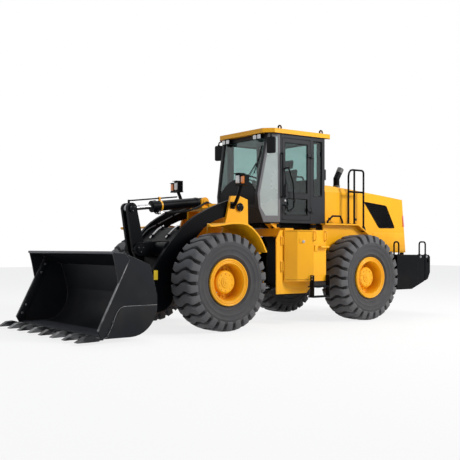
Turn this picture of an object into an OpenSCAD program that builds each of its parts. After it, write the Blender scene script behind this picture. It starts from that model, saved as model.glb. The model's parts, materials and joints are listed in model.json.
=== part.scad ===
// Articulated wheel loader with a Z-bar bucket linkage.
// Millimetres, +X forward, +Y to the machine's left, +Z up.
// The pieces are laid out from the steering hinge (x = 0, y = 0, ground z = 0),
// and every node is then moved back by mid_x so that the origin lies below the middle.

/* [Wheels] */
// Distance between the two axles
wheelbase = 3300; // [3200:10:3400]
// Distance between the tyres' middles
track = 2240; // [2220:10:2300]
// Tyre diameter over the lug tips
tyre_d = 1600; // [1560:10:1620]
// Tyre width
tyre_w = 595; // [560:5:600]
// Bead seat diameter of the rim
rim_d = 635; // [620:5:650]
// Diameter over the rim flanges
flange_d = 762; // [740:2:780]
// Width over the rim flanges
rim_w = 520; // [480:5:540]
// Radius of the planetary hub cover
hub_r = 188; // [180:2:220]
// Radius of the axle spindles and beams
spindle_r = 150; // [140:2:160]
// Number of tread lugs round a tyre
lug_n = 26; // [22:1:30]
// Depth of the tread grooves
groove_d = 55; // [40:1:60]
// Width of the tread grooves
groove_w = 56; // [46:1:66]

/* [Pins] */
// Radius of the boom and bucket pins
pin_r = 60; // [50:1:66]
// Radius of the linkage pins
link_pin_r = 48; // [42:1:52]
// Radius of the cylinder pins
cyl_pin_r = 42; // [36:1:46]
// Running clearance of a pin in its bore
pin_gap = 0.5; // [0.3:0.1:0.8]
// Side clearance between plates that swing past each other
side_gap = 10; // [6:1:12]

/* [Linkage points] */
// Boom pivot, forward of the hinge
boom_pivot_x = 900; // [895:1:905]
// Boom pivot height
boom_pivot_z = 2050; // [2045:1:2055]
// Bucket pin, forward of the hinge
bucket_pin_x = 2960; // [2950:1:2970]
// Bucket pin height
bucket_pin_z = 370; // [365:1:375]
// Bellcrank pivot, forward of the hinge
crank_x = 2567; // [2555:1:2575]
// Bellcrank pivot height
crank_z = 1333; // [1325:1:1345]
// Upper bellcrank pin, forward of the hinge
crank_top_x = 2690; // [2680:1:2700]
// Upper bellcrank pin height
crank_top_z = 2005; // [1995:1:2015]
// Lower bellcrank pin, forward of the hinge
crank_low_x = 2569; // [2560:1:2578]
// Lower bellcrank pin height
crank_low_z = 558; // [550:1:566]
// Bucket link pin, forward of the hinge
bucket_link_x = 2897; // [2888:1:2904]
// Bucket link pin height
bucket_link_z = 635; // [628:1:642]
// Tilt cylinder base pin, forward of the hinge
tilt_base_x = 1200; // [1190:1:1205]
// Tilt cylinder base pin height
tilt_base_z = 2160; // [2155:1:2170]
// Lift cylinder base pin, forward of the hinge
lift_base_x = 300; // [298:1:306]
// Lift cylinder base pin height
lift_base_z = 850; // [846:1:856]
// Lift rod pin, forward of the hinge
lift_eye_x = 1900; // [1890:1:1910]
// Lift rod pin height
lift_eye_z = 1500; // [1490:1:1510]

/* [Boom] */
// Thickness of each boom arm
arm_t = 70; // [60:1:75]
// Inner face of each boom arm
arm_y = 560; // [558:1:566]
// Radius of the boom cross tube
tube_r = 120; // [105:1:130]
// Thickness of one bellcrank plate
crank_t = 60; // [50:1:64]
// Half thickness of the rod eyes and the bucket link
eye_half = 45; // [38:1:48]

/* [Cylinders] */
// Lift barrel radius
lift_r = 80; // [72:1:84]
// Lift rod radius
lift_rod_r = 45; // [36:1:50]
// Lift barrel length from its base pin
lift_len = 1120; // [1060:10:1150]
// Tilt barrel radius
tilt_r = 88; // [78:1:92]
// Tilt rod radius
tilt_rod_r = 42; // [36:1:50]
// Tilt barrel length from its base pin
tilt_len = 1060; // [1000:10:1090]
// Steering barrel radius
steer_r = 52; // [44:1:54]
// Steering rod radius
steer_rod_r = 28; // [24:1:34]
// Steering barrel length from its base pin
steer_len = 684; // [676:2:690]
// Height of the steering cylinders
steer_z = 640; // [636:1:644]

/* [Bucket] */
// Width over the bucket's sides
bucket_w = 2960; // [2900:10:3000]
// Thickness of the bucket's shell
bucket_t = 30; // [24:1:36]
// Thickness of the side plates
bucket_side_t = 28; // [22:1:34]
// Radius of the rolled heel
heel_r = 451; // [445:1:455]
// Number of teeth
tooth_n = 8; // [6:1:9]
// Width of one tooth
tooth_w = 110; // [90:5:130]
// How far the tooth tips reach forward of the hinge
tooth_tip_x = 4360; // [4330:5:4380]

/* [Cab] */
// Half width of the cab
cab_half = 760; // [750:1:766]
// Height of the cab floor's underside
cab_floor_z = 1800; // [1795:1:1806]
// Height of the roof's underside
cab_top_z = 3400; // [3380:5:3420]
// Thickness of the roof
roof_t = 80; // [60:1:100]
// Thickness of the cab's walls and pillars
cab_wall = 60; // [55:1:64]
// Thickness of the glass
glass_t = 12; // [8:1:14]
// Running gap around the doors
door_gap = 6; // [5:1:8]
// Thickness of the cab door
door_t = 46; // [40:1:50]

/* [Rear body] */
// Half width of the hood
hood_half = 720; // [700:5:725]
// Height of the hood's front top edge
hood_front_z = 2552; // [2500:2:2570]
// Height of the hood's rear top edge
hood_rear_z = 2332; // [2300:2:2400]
// Wall thickness of the hood
hood_t = 30; // [24:1:36]
// Half width of the counterweight
weight_half = 1130; // [1100:5:1150]
// Height of the counterweight's top
weight_top_z = 1210; // [1200:1:1215]
// How far the counterweight reaches behind the hinge
weight_rear = 3710; // [3680:5:3740]
// Height of the walkway over the rear tyres
deck_z = 1805; // [1795:1:1806]
// Radius of the handrail tubes
rail_r = 19; // [14:1:22]

/* [Hidden] */
$fn = 48;

YELLOW = "#f2ad1c";
BLACK = "#17181b";
GREY = "#55585c";
CHROME = "#c9ccd0";
RUBBER = "#2b2c2e";
GLASS = "#7f9290";

mid_x = (tooth_tip_x - weight_rear) / 2;
axle_x = wheelbase / 2;
axle_z = tyre_d / 2;
wheel_y = track / 2;
tyre_in = wheel_y - tyre_w / 2;

// Linkage points as [x, z] in the machine's side view.
BOOM = [boom_pivot_x, boom_pivot_z];
BPIN = [bucket_pin_x, bucket_pin_z];
CRANK = [crank_x, crank_z];
TOP = [crank_top_x, crank_top_z];
LOW = [crank_low_x, crank_low_z];
BLINK = [bucket_link_x, bucket_link_z];
TILT = [tilt_base_x, tilt_base_z];
LIFT = [lift_base_x, lift_base_z];
LEYE = [lift_eye_x, lift_eye_z];
TUBE = [crank_x - 337, crank_z - 3];

// Layers across the machine, measured from the middle plane.
arm_out = arm_y + arm_t;
tower_in = arm_out + 15;
tower_t = 45;
tower_out = tower_in + tower_t;
post_out = arm_y - side_gap;
post_t = 30;
box_in = 290;
box_out = 330;
lift_y = 430;
crank_in = eye_half + side_gap;
crank_out = crank_in + crank_t;
bracket_in = crank_out + side_gap;
bracket_t = 50;
tower_rear_x = 715;
bar_x = boom_pivot_x - 115;

// Steering hinge.
hinge_r = 130;
hinge_t = 50;
hinge_low_z = 645;
hinge_top_z = 1315;
hinge_gap = 5;
fork_x = 260;
neck_half = 190;
neck_x = -160;

// Steering cylinder ends as [x, y].
STEER_BASE = [-700, 345];
STEER_EYE = [350, 450];
steer_lug_gap = 36;
steer_lug_t = 34;
steer_lug_r = 58;

// Rear frame rails.
rail_in = 260;
rail_out = 300;
rail_front_x = -800;
hood_front_x = -1128;
hood_rear_x = -3441;
rail_rear_x = hood_rear_x + 141;
rail_end_t = 30;
beam_z = 1560;
beam_h = 140;
gear_gap = 270;

// Counterweight and hood hinge.
weight_front_x = -axle_x - 1050;
weight_inner_x = rail_rear_x - rail_end_t;
tow_r = 26;
HOOD_HINGE = [hood_rear_x + 46, 1300];
hood_pin_r = 24;
hood_ear_y = 600;
hood_ear_t = 40;
hood_low_z = 1255;

// Side grille on the hood, in the side view.
GRILLE = [[hood_rear_x + 1246, 2251], [hood_rear_x + 601, 2193], [hood_rear_x + 343, 1754], [hood_rear_x + 809, 1747]];
rear_grille_low = hood_low_z + 165;
rear_grille_high = hood_rear_z - 152;

// Cab outline.
cab_rear_x = -1080;
cab_side_x = 0;
cab_nose_x = 427;
cab_nose_half = 590;
screen_top_x = 232;
sill_z = cab_floor_z + 50;
head_z = cab_top_z - 70;
door_rear_x = -715;
door_front_x = -20;
DOOR_HINGE = [door_rear_x - 4, cab_half + 22];
door_hinge_r = 14;
DOOR_HINGE_Z = [2000, 3000];
hinge_foot = 20;
sleeve_h = 50;

// Left side compartment, in plan.
BOX_P0 = [137, 1000];
BOX_P1 = [-34, 1150];
BOX_P2 = [-311, 1250];
BOX_PIVOT = BOX_P0 + [-19, -5];
box_boss_r = 15;
box_pin_r = 8;
box_rear_x = -axle_x + axle_z + 219;
panel_y = 950;
panel_t = 20;
box_low_z = 770;
box_high_z = 1664;
box_wall = 25;

// Small helpers.

// Move a piece from the hinge frame to the part's own frame.
module place() {
    translate([-mid_x, 0, 0]) children();
}

// Repeat on the right-hand side.
module both_sides() {
    children();
    mirror([0, 1, 0]) children();
}

// Extrude a side-view outline across the machine from y0 to y1.
module slab(y0, y1) {
    translate([0, y1, 0]) rotate([90, 0, 0]) linear_extrude(y1 - y0) children();
}

// Round bar across the machine at the side-view point p.
module bar(p, r, y0, y1) {
    translate([p[0], y1, p[1]]) rotate([90, 0, 0]) cylinder(r = r, h = y1 - y0);
}

// Box between two opposite corners.
module span(a, b) {
    translate(a) cube(b - a);
}

// Straight round rod between two points.
module rod(a, b, r) {
    d = b - a;
    translate(a)
        rotate([0, acos(d[2] / norm(d)), atan2(d[1], d[0])])
            cylinder(r = r, h = norm(d), $fn = 24);
}

// Direction of a path at point i, half way between the stretches that meet there.
function unit(v) = v / norm(v);
function heading(p, i) =
    unit((i < len(p) - 1 ? unit(p[i + 1] - p[i]) : [0, 0, 0]) + (i > 0 ? unit(p[i] - p[i - 1]) : [0, 0, 0]));

// Bent round tube swept through a list of points; ref is a direction that the path never takes.
module bent_tube(points, r, ref = [0, 1, 0]) {
    n = 10;
    m = len(points);
    rings = [
        for (i = [0 : m - 1])
            let (t = heading(points, i), u = unit(ref - (ref * t) * t), v = cross(t, u))
                for (k = [0 : n - 1]) points[i] + r * (cos(360 * k / n) * u + sin(360 * k / n) * v)
    ];
    walls = [
        for (i = [0 : m - 2], k = [0 : n - 1])
            let (q = (k + 1) % n) [i * n + k, (i + 1) * n + k, (i + 1) * n + q, i * n + q]
    ];
    ends = [[for (k = [0 : n - 1]) k], [for (k = [0 : n - 1]) m * n - 1 - k]];
    polyhedron(rings, concat(walls, ends));
}

// Smooth curve through side-view points, with n steps between each pair.
function bend(a, b, c, d, u) =
    0.5 * (2 * b + (c - a) * u + (2 * a - 5 * b + 4 * c - d) * u * u + (3 * b - a - 3 * c + d) * u * u * u);
function smooth(p, n) =
    let (last = len(p) - 1)
        concat([for (i = [0 : last - 1], k = [0 : n - 1])
                    bend(p[max(i - 1, 0)], p[i], p[i + 1], p[min(i + 2, last)], k / n)], [p[last]]);

// Direction to the left of a side-view path at point i.
function left_of(p, i) =
    let (d = unit(p[min(i + 1, len(p) - 1)] - p[max(i - 1, 0)])) [-d[1], d[0]];

// Angle of the line from a to b in the side view.
function slope(a, b) = atan2(b[1] - a[1], b[0] - a[0]);

// Put a piece built along +X from the origin onto the side-view line from a to b.
module along(a, b) {
    translate([a[0], 0, a[1]]) rotate([0, -slope(a, b), 0]) children();
}

// Tyres and rims.

module wheel_at(sx, sy) {
    place() translate([sx * axle_x, sy * wheel_y, axle_z])
        rotate([-90 * sy, 0, 0]) children();
}

// Tyre section in [radius, axial] with rounded shoulders, out to the lug tips.
module tyre_section() {
    r = tyre_d / 2;
    w = tyre_w / 2;
    bead = rim_d / 2 + 0.3;
    polygon([
        [bead, -rim_w / 2 + 40], [flange_d / 2 + 4, -rim_w / 2 + 36], [flange_d / 2 + 40, -w + 22],
        [0.72 * r, -w], [0.86 * r, -w + 4], [0.955 * r, -w + 24], [r, -w + 62],
        [r, w - 62], [0.955 * r, w - 24], [0.86 * r, w - 4], [0.72 * r, w],
        [flange_d / 2 + 40, w - 22], [flange_d / 2 + 4, rim_w / 2 - 36], [bead, rim_w / 2 - 40]
    ]);
}

// One tread groove in [tangential, axial]: an S across the tread, handed left or right by side.
module groove_outline(side) {
    w = tyre_w / 2;
    wave = -side * 0.06 * tyre_d / 2;
    line = [[0, -1.05], [0, -0.81], [-wave, -0.4], [wave, 0.4], [0, 0.81], [0, 1.05]];
    upper = [for (p = line) [p[0] + groove_w / 2, p[1] * w]];
    lower = [for (i = [len(line) - 1 : -1 : 0]) [line[i][0] - groove_w / 2, line[i][1] * w]];
    polygon(concat(upper, lower));
}

// Section of the tyre's body below the tread grooves.
module body_section() {
    r = tyre_d / 2 - groove_d;
    w = tyre_w / 2 - 26;
    polygon([[0.7 * r, -w - 40], [0.86 * r, -w], [0.95 * r, -w + 16], [r, -w + 60],
             [r, w - 60], [0.95 * r, w - 16], [0.86 * r, w], [0.7 * r, w + 40]]);
}

module tyre(side) {
    r = tyre_d / 2;
    color(RUBBER) difference() {
        rotate_extrude($fn = 96) tyre_section();
        difference() {
            for (i = [0 : lug_n - 1]) rotate([0, 0, i * 360 / lug_n])
                translate([0.72 * r, 0, 0]) rotate([90, 0, 90]) linear_extrude(0.3 * r) groove_outline(side);
            rotate_extrude($fn = 96) body_section();
        }
    }
}

// Deep-dish rim with its flanges, disc and planetary hub cover, outward along +Z.
module rim() {
    seat = rim_d / 2;
    lip = flange_d / 2;
    edge = rim_w / 2;
    wall = 26;
    bore = spindle_r + pin_gap;
    color(YELLOW) union() {
        rotate_extrude($fn = 96)
            polygon([
                [seat - wall, -edge], [lip, -edge], [lip, -edge + 30], [seat, -edge + 36],
                [seat, edge - 36], [lip, edge - 30], [lip, edge], [seat - wall + 12, edge],
                [seat - wall, edge - 40]
            ]);
        difference() {
            translate([0, 0, -40]) cylinder(r = seat - wall / 2, h = 36);
            translate([0, 0, -41]) cylinder(r = bore, h = 38);
        }
        difference() {
            rotate_extrude($fn = 96)
                polygon([
                    [0, -40], [hub_r + 20, -40], [hub_r + 20, 24], [hub_r, 44], [hub_r, 150],
                    [hub_r - 24, 172], [96, 172], [90, 182], [0, 182]
                ]);
            translate([0, 0, -41]) cylinder(r = bore, h = 102);
        }
    }
}

// Axle housing across the machine with its spindles, differential and mounting pads.
module axle(x, pad_top, nose) {
    color(GREY) translate([x, 0, axle_z]) {
        bar([0, 0], spindle_r, -wheel_y - 50, wheel_y + 50);
        scale(1) sphere(r = 250);
        rotate([0, 90, 0]) cylinder(r = 110, h = nose, center = false);
        both_sides() span([-100, 230, 60], [100, 390, pad_top - axle_z]);
        both_sides() bar([0, 0], spindle_r + 50, wheel_y - 300, wheel_y - 230);
    }
}

// Rear machine half.

rail_outline = [
    [rail_front_x, 640], [-axle_x + 400, 640], [-axle_x + 250, 1010], [-axle_x - 250, 1010],
    [-axle_x - 400, 720], [rail_rear_x, 720],
    [rail_rear_x, 1200], [-1100, 1400], [rail_front_x, 1400]
];

module rear_hinge_plate(z) {
    translate([0, 0, z - hinge_t / 2]) linear_extrude(hinge_t) difference() {
        union() {
            circle(r = hinge_r);
            polygon([[0, hinge_r], [neck_x, neck_half], [neck_x - 60, neck_half],
                     [neck_x - 60, -neck_half], [neck_x, -neck_half], [0, -hinge_r]]);
        }
        circle(r = pin_r);
    }
}

module steer_lug(p, foot_y, foot) {
    for (z = [steer_z - steer_lug_gap - steer_lug_t, steer_z + steer_lug_gap])
        translate([0, 0, z]) linear_extrude(steer_lug_t) union() {
            translate(p) circle(r = steer_lug_r);
            polygon([[p[0] - foot, foot_y], [p[0] - steer_lug_r, p[1]], [p[0] + steer_lug_r, p[1]],
                     [p[0] + foot, foot_y]]);
        }
}

module rear_frame() {
    color(BLACK) place() union() {
        both_sides() slab(rail_in, rail_out) polygon(rail_outline);
        both_sides() slab(neck_half - 40, neck_half)
            polygon([[neck_x, 560], [rail_front_x - 60, 560], [rail_front_x - 60, beam_z],
                     [neck_x + 80, beam_z], [neck_x, 1400]]);
        span([rail_front_x - 60, -rail_out, 640], [rail_front_x, rail_out, 1400]);
        span([rail_rear_x - rail_end_t, -500, 720], [rail_rear_x, 500, 1200]);
        span([-2320, -rail_in, 760], [-2250, rail_in, 1000]);
        rear_hinge_plate(hinge_low_z);
        rear_hinge_plate(hinge_top_z);
        span([neck_x - 40, -neck_half, 560], [neck_x, neck_half, hinge_low_z - 60]);
        span([neck_x - 40, -neck_half, hinge_top_z + 60], [neck_x, neck_half, 1400]);
        both_sides() steer_lug(STEER_BASE, neck_half - 10, steer_lug_r);
        both_sides() bar_z(STEER_BASE, cyl_pin_r, steer_z - steer_lug_gap - 10, steer_z + steer_lug_gap + 10);
    }
}

// Upright round pin at a plan point.
module bar_z(p, r, z0, z1) {
    translate([p[0], p[1], z0]) cylinder(r = r, h = z1 - z0);
}

// Upright steering pins, held by the rear frame.
module hinge_pins() {
    reach = hinge_t * 1.5 + hinge_gap + 12;
    color(GREY) place() for (z = [hinge_low_z, hinge_top_z]) {
        translate([0, 0, z - reach]) cylinder(r = pin_r, h = 2 * reach);
        translate([0, 0, z + reach]) cylinder(r = pin_r + 22, h = 16);
    }
}

module rear_axle() {
    place() {
        axle(-axle_x, 1010, 260);
        color(GREY) rod([-axle_x + 240, 0, axle_z], [-axle_x + gear_gap - 0.3, 0, axle_z], 55);
    }
}

// Side view of the counterweight, sloped up towards its rear.
module weight_outline() {
    polygon([
        [weight_front_x, weight_top_z], [-weight_rear + 40, weight_top_z], [-weight_rear, weight_top_z - 40],
        [-weight_rear, 855], [-weight_rear + 70, 720], [weight_inner_x + 190, 530], [weight_front_x, 530]
    ]);
}

module counterweight() {
    color(BLACK) place() difference() {
        union() {
            slab(-weight_half, weight_half) weight_outline();
            both_sides() hood_bracket();
        }
        span([weight_inner_x, -weight_half - 1, 500], [0, weight_half + 1, weight_top_z + 1]);
        both_sides() span([-3560, weight_half - 12, 520], [-3530, weight_half + 1, weight_top_z + 1]);
        both_sides() span([-3660, weight_half - 60, 1050], [-3610, weight_half + 1, 1120]);
        span([-weight_rear - 1, -120, 760], [-weight_rear + 170, 120, 900]);
        translate([-weight_rear + 80, 0, 880]) cylinder(r = tow_r, h = weight_top_z);
    }
}

// Side castings bolted to the counterweight's ends, one beside each rail.
module weight_wings() {
    color(BLACK) place() both_sides() intersection() {
        slab(810, weight_half) weight_outline();
        span([weight_inner_x + 0.3, 0, 500], [0, weight_half, weight_top_z + 1]);
    }
}

// Ear that carries one hood hinge pin above the counterweight.
module hood_bracket() {
    y = hood_ear_y + hood_ear_t + 6;
    slab(y, y + 30) union() {
        translate(HOOD_HINGE) circle(r = 44);
        polygon([[HOOD_HINGE[0] - 44, weight_top_z - 5], [HOOD_HINGE[0] + 44, weight_top_z - 5],
                 [HOOD_HINGE[0] + 44, HOOD_HINGE[1]], [HOOD_HINGE[0] - 44, HOOD_HINGE[1]]]);
    }
    bar(HOOD_HINGE, hood_pin_r, hood_ear_y - 6, y + 30);
}

// Engine and gearbox as plain blocks between the rails.
module engine() {
    color(GREY) place() union() {
        span([hood_rear_x + 541, -rail_in, 1110], [-1450, rail_in, 1850]);
        span([-1460, -200, 1150], [-1300, 200, 1600]);
        span([-axle_x + gear_gap, -rail_in, 700], [-900, rail_in, 1350]);
        span([-1300, -200, 1340], [-1000, 200, 1500]);
    }
}

// Cross beams that carry the cab, with the side panels hung on their ends.
module cab_base() {
    color(YELLOW) place() union() {
        span([-120, -panel_y, beam_z], [80, panel_y, beam_z + beam_h]);
        span([-1000, -700, 1400], [-860, 700, beam_z]);
        for (x = [-20, -930], y = [-600, 600])
            translate([x, y, beam_z - 10]) cylinder(r = 55, h = cab_floor_z - beam_z + 10);
        both_sides() slab(panel_y, panel_y + panel_t)
            polygon([[-500, 620], [-420, 540], [300, 540], [300, 1500], [215, 1660], [-500, 1660]]);
    }
}

// Cab outline as a solid, shrunk inwards by d.
module cab_solid(d) {
    intersection() {
        translate([0, 0, cab_floor_z - 10 + d]) linear_extrude(cab_top_z - cab_floor_z + 10 - 2 * d)
            polygon([
                [cab_rear_x + d, -cab_half + d], [cab_side_x - 0.19 * d, -cab_half + d],
                [cab_nose_x, -cab_nose_half + 1.08 * d], [cab_nose_x, cab_nose_half - 1.08 * d],
                [cab_side_x - 0.19 * d, cab_half - d], [cab_rear_x + d, cab_half - d]
            ]);
        slab(-cab_half, cab_half)
            polygon([
                [cab_rear_x + d, cab_floor_z + d], [317 - 1.05 * d, cab_floor_z + d], [402 - 1.04 * d, 2055],
                [cab_nose_x - 1.02 * d, 2310], [screen_top_x - 1.02 * d, cab_top_z + 1],
                [cab_rear_x + d, cab_top_z + 1]
            ]);
    }
}

// Windscreen opening, as a prism that runs forward.
module screen_cut() {
    translate([0, 0, 0]) rotate([90, 0, 90]) linear_extrude(600)
        polygon([[-520, 2120], [520, 2120], [545, 2310], [600, head_z], [-600, head_z], [-545, 2310]]);
}

// Quarter window on the slanted face between the door and the windscreen.
module quarter_cut() {
    turn = atan2(cab_nose_half - cab_half, cab_nose_x - cab_side_x);
    translate([cab_side_x, cab_half, 0]) rotate([0, 0, turn]) slab(-150, 20)
        polygon([[70, sill_z + 60], [300, sill_z + 60], [385, 2080], [400, 2310], [205, head_z], [70, head_z]]);
}

// Windows cut square through the left wall.
module side_cut(x0, x1, z0) {
    span([x0, cab_half - 150, z0], [x1, cab_half + 20, head_z]);
}

module rear_cut() {
    span([cab_rear_x - 20, -600, 2640], [cab_rear_x + 150, 600, head_z]);
}

module cab_windows() {
    screen_cut();
    both_sides() quarter_cut();
    both_sides() side_cut(-1020, -790, 2300);
    mirror([0, 1, 0]) side_cut(-700, -70, 2300);
    rear_cut();
}

module cab_frame() {
    color(BLACK) place() difference() {
        union() {
            cab_solid(0);
            for (z = DOOR_HINGE_Z) door_knuckle(z);
        }
        difference() {
            cab_solid(cab_wall);
            span([cab_rear_x, -cab_half, cab_floor_z], [cab_nose_x, cab_half, cab_floor_z + cab_wall]);
        }
        cab_windows();
        span([door_rear_x, cab_half - 150, sill_z], [door_front_x, cab_half + 20, head_z]);
    }
}

// Fixed half of one door hinge: a short upright pin on a foot behind the door.
module door_knuckle(z) {
    translate([DOOR_HINGE[0], DOOR_HINGE[1], z]) cylinder(r = door_hinge_r, h = 80);
    span([DOOR_HINGE[0] - 70, cab_half - 10, z], [DOOR_HINGE[0], DOOR_HINGE[1] + 6, z + hinge_foot]);
}

module cab_glass() {
    inset = 20;
    color(GLASS) place() intersection() {
        difference() {
            cab_solid(inset);
            cab_solid(inset + glass_t);
        }
        cab_windows();
    }
}

// Roof slab with chamfered corners and four lifting eyes.
module cab_roof() {
    half = cab_half + 20;
    eye_r = 22;
    color(YELLOW) place() union() {
        translate([0, 0, cab_top_z]) linear_extrude(roof_t)
            polygon([[-1200, -half], [170, -half], [330, -half + 150], [330, half - 150], [170, half], [-1200, half]]);
        for (x = [-60, -1090], y = [-650, 650]) translate([x, y, cab_top_z + roof_t - 4])
            rotate([90, 0, 0]) linear_extrude(20, center = true) difference() {
                union() {
                    translate([0, 46]) circle(r = 42);
                    translate([-42, 0]) square([84, 46]);
                }
                translate([0, 46]) circle(r = eye_r);
            }
    }
}

module seat() {
    x = -560;
    floor_z = cab_floor_z + cab_wall;
    color(BLACK) place() union() {
        span([x - 150, -170, floor_z], [x + 150, 170, floor_z + 260]);
        span([x - 240, -260, floor_z + 260], [x + 260, 260, floor_z + 400]);
        translate([x - 200, 0, floor_z + 380]) rotate([0, -8, 0]) span([-60, -250, 0], [60, 250, 640]);
        translate([x - 270, 0, floor_z + 1000]) rotate([0, -8, 0]) span([-40, -140, 0], [40, 140, 190]);
        span([x - 300, -60, floor_z + 960], [x - 250, 60, floor_z + 1040]);
        both_sides() span([x - 200, 262, floor_z + 520], [x + 160, 330, floor_z + 590]);
        both_sides() span([x - 240, 240, floor_z + 400], [x - 160, 330, floor_z + 530]);
    }
}

// Arched cover over the dash, below the windscreen.
module dash_cowl() {
    intersection() {
        slab(-470, 470) polygon([[150, 2200], [335, 2200], [330, 2400], [300, 2500], [190, 2540], [130, 2440]]);
        translate([100, 0, 0]) rotate([90, 0, 90]) linear_extrude(300)
            polygon([[-470, 2150], [470, 2150], [470, 2330], [400, 2430], [250, 2510], [90, 2545], [-90, 2545],
                     [-250, 2510], [-400, 2430], [-470, 2330]]);
    }
}

// Dash, steering column and wheel.
module cab_console() {
    floor_z = cab_floor_z + cab_wall;
    color(BLACK) place() union() {
        slab(-330, 330) polygon([[40, floor_z], [235, floor_z], [318, 2070], [335, 2220], [180, 2320], [60, 2260]]);
        dash_cowl();
        rod([180, 0, 2240], [-8, 0, 2574], 34);
        translate([-10, 0, 2578]) rotate([0, -30, 0]) {
            rotate_extrude($fn = 48) translate([200, 0]) circle(r = 16, $fn = 24);
            for (a = [90, 210, 330]) rotate([0, 0, a]) rod([0, 0, 0], [200, 0, 0], 12);
            cylinder(r = 50, h = 30, center = true);
        }
        span([-640, -560, floor_z], [-180, -420, 2330]);
        rod([-260, -490, 2320], [-230, -490, 2500], 16);
        translate([-228, -490, 2510]) sphere(r = 30);
    }
}

// Work lamps under the roof's edges.
module roof_lamps() {
    color(BLACK) place() {
        for (y = [-520, -400, 400, 520]) {
            span([250, y - 50, cab_top_z - 100], [318, y + 50, cab_top_z - 14]);
            span([270, y - 12, cab_top_z - 16], [298, y + 12, cab_top_z]);
        }
        for (y = [-560, 560]) {
            span([-1180, y - 50, cab_top_z - 100], [-1112, y + 50, cab_top_z - 14]);
            span([-1160, y - 12, cab_top_z - 16], [-1132, y + 12, cab_top_z]);
        }
    }
}

module mirrors() {
    color(BLACK) place() both_sides() {
        bent_tube([[196, 713, cab_top_z - 13.1], [225, 745, cab_top_z - 13.1], [243, 765, cab_top_z - 30],
                   [250, 772, cab_top_z - 62], [250, 772, 3300]], 13, [1, -1, 0.2]);
        translate([250, 772, 3172]) rotate([0, 0, -25]) span([-22, -82, -145], [22, 82, 145]);
    }
}

// Side compartment as an open box whose door closes the slanted front.
module side_box_left() {
    inner_y = panel_y + panel_t;
    color(YELLOW) place() difference() {
        translate([0, 0, box_low_z]) linear_extrude(box_high_z - box_low_z)
            polygon([[BOX_P0[0], inner_y], BOX_P0, BOX_P1, BOX_P2, [box_rear_x, BOX_P2[1]], [box_rear_x, inner_y]]);
        translate([0, 0, box_low_z + box_wall]) linear_extrude(box_high_z - box_low_z - 2 * box_wall)
            polygon([[BOX_P0[0] + 5, inner_y + 22], [BOX_P0[0] + 5, BOX_P0[1] + 5], BOX_P1 + [5, 5],
                     BOX_P2 + [0, 5], BOX_P2 - [0, box_wall], [box_rear_x + box_wall, BOX_P2[1] - box_wall],
                     [box_rear_x + box_wall, inner_y + 22]]);
        box_door_volume(door_gap);
        translate([BOX_PIVOT[0], BOX_PIVOT[1], box_low_z + box_wall - door_gap])
            cylinder(r = 20 + door_gap, h = box_high_z - box_low_z - 2 * (box_wall - door_gap));
    }
    color(YELLOW) place() box_pivots();
}

// Fixed pivot pins at the box's floor and ceiling, each on a low seat for the door.
module box_pivots() {
    seat = door_gap - 0.3;
    for (flip = [0, 1]) translate([BOX_PIVOT[0], BOX_PIVOT[1], flip == 0 ? box_low_z : box_high_z])
        mirror([0, 0, flip]) {
            cylinder(r = box_boss_r - 2, h = box_wall - door_gap + seat);
            cylinder(r = box_pin_r, h = box_wall + 45);
        }
}

// Door plate along the two slanted faces, grown by g.
module box_door_volume(g) {
    t = 30;
    translate([0, 0, box_low_z + box_wall - g]) linear_extrude(box_high_z - box_low_z - 2 * box_wall + 2 * g)
        polygon([
            BOX_P0 + [g, g], BOX_P1 + [g, g], BOX_P2 + [-g, g + 1], BOX_P2 + [-g, -t - g],
            BOX_P1 + [-t * 0.5, -t - g], BOX_P0 + [-t * 0.7 - g, -t * 0.8 - 2 * g], BOX_P0 + [g, -10 - 2 * g]
        ]);
}

module box_door() {
    low = box_low_z + box_wall;
    high = box_high_z - box_wall;
    color(YELLOW) place() difference() {
        union() {
            box_door_volume(0);
            bar_z(BOX_PIVOT, box_boss_r, low, high);
        }
        for (z = [low - 1, high - 50]) bar_z(BOX_PIVOT, box_pin_r + pin_gap, z, z + 51);
    }
}

// Right-hand tank: the mirrored outline, closed.
module side_box_right() {
    color(YELLOW) place() mirror([0, 1, 0])
        translate([0, 0, box_low_z]) linear_extrude(box_high_z - box_low_z)
            polygon([[BOX_P0[0], panel_y + panel_t], BOX_P0, BOX_P1, BOX_P2,
                     [box_rear_x, BOX_P2[1]], [box_rear_x, panel_y + panel_t]]);
}

// Hanging steps below the side boxes.
module steps() {
    y0 = BOX_P2[1];
    color(BLACK) place() both_sides() {
        x0 = box_rear_x - 9;
        x1 = box_rear_x + 371;
        for (x = [x0, x1]) span([x, y0, 475], [x + 16, y0 + 90, box_low_z + 100]);
        for (z = [475, 655]) span([x0, y0 - 60, z], [x1 + 16, y0 + 90, z + 22]);
    }
}

module handrails() {
    y = 850;
    top_z = 2842;
    mid_z = 2421;
    foot_z = deck_z + 0.3;
    front = -axle_x + 27;
    middle = -axle_x - 132;
    rear = -axle_x - 389;
    bent_tube([[front, y, foot_z], [front, y, top_z - 130], [front - 16, y, top_z - 60], [front - 56, y, top_z - 12],
               [front - 110, y, top_z], [rear + 50, y, top_z], [rear + 14, y, top_z - 14], [rear, y, top_z - 50],
               [rear, y, deck_z - 108]], rail_r);
    rod([middle, y, foot_z], [middle, y, top_z], rail_r);
    rod([front, y, mid_z], [rear, y, mid_z], rail_r);
    bent_tube([[-1040, 880, foot_z], [-1040, 880, foot_z + 40], [-1170, 880, 1945], [-1373, 880, 1945],
               [-1427, 880, foot_z + 40], [-1427, 880, foot_z]], rail_r);
    bent_tube([[-2, cab_half + 0.3, 2260], [-2, cab_half + 42, 2260], [-2, cab_half + 42, 3040],
               [-2, cab_half + 0.3, 3040]], rail_r - 4, [1, 0, 0]);
}

module handrails_left() {
    color(BLACK) place() handrails();
}

module handrails_right() {
    color(BLACK) place() mirror([0, 1, 0]) handrails();
}

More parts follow.
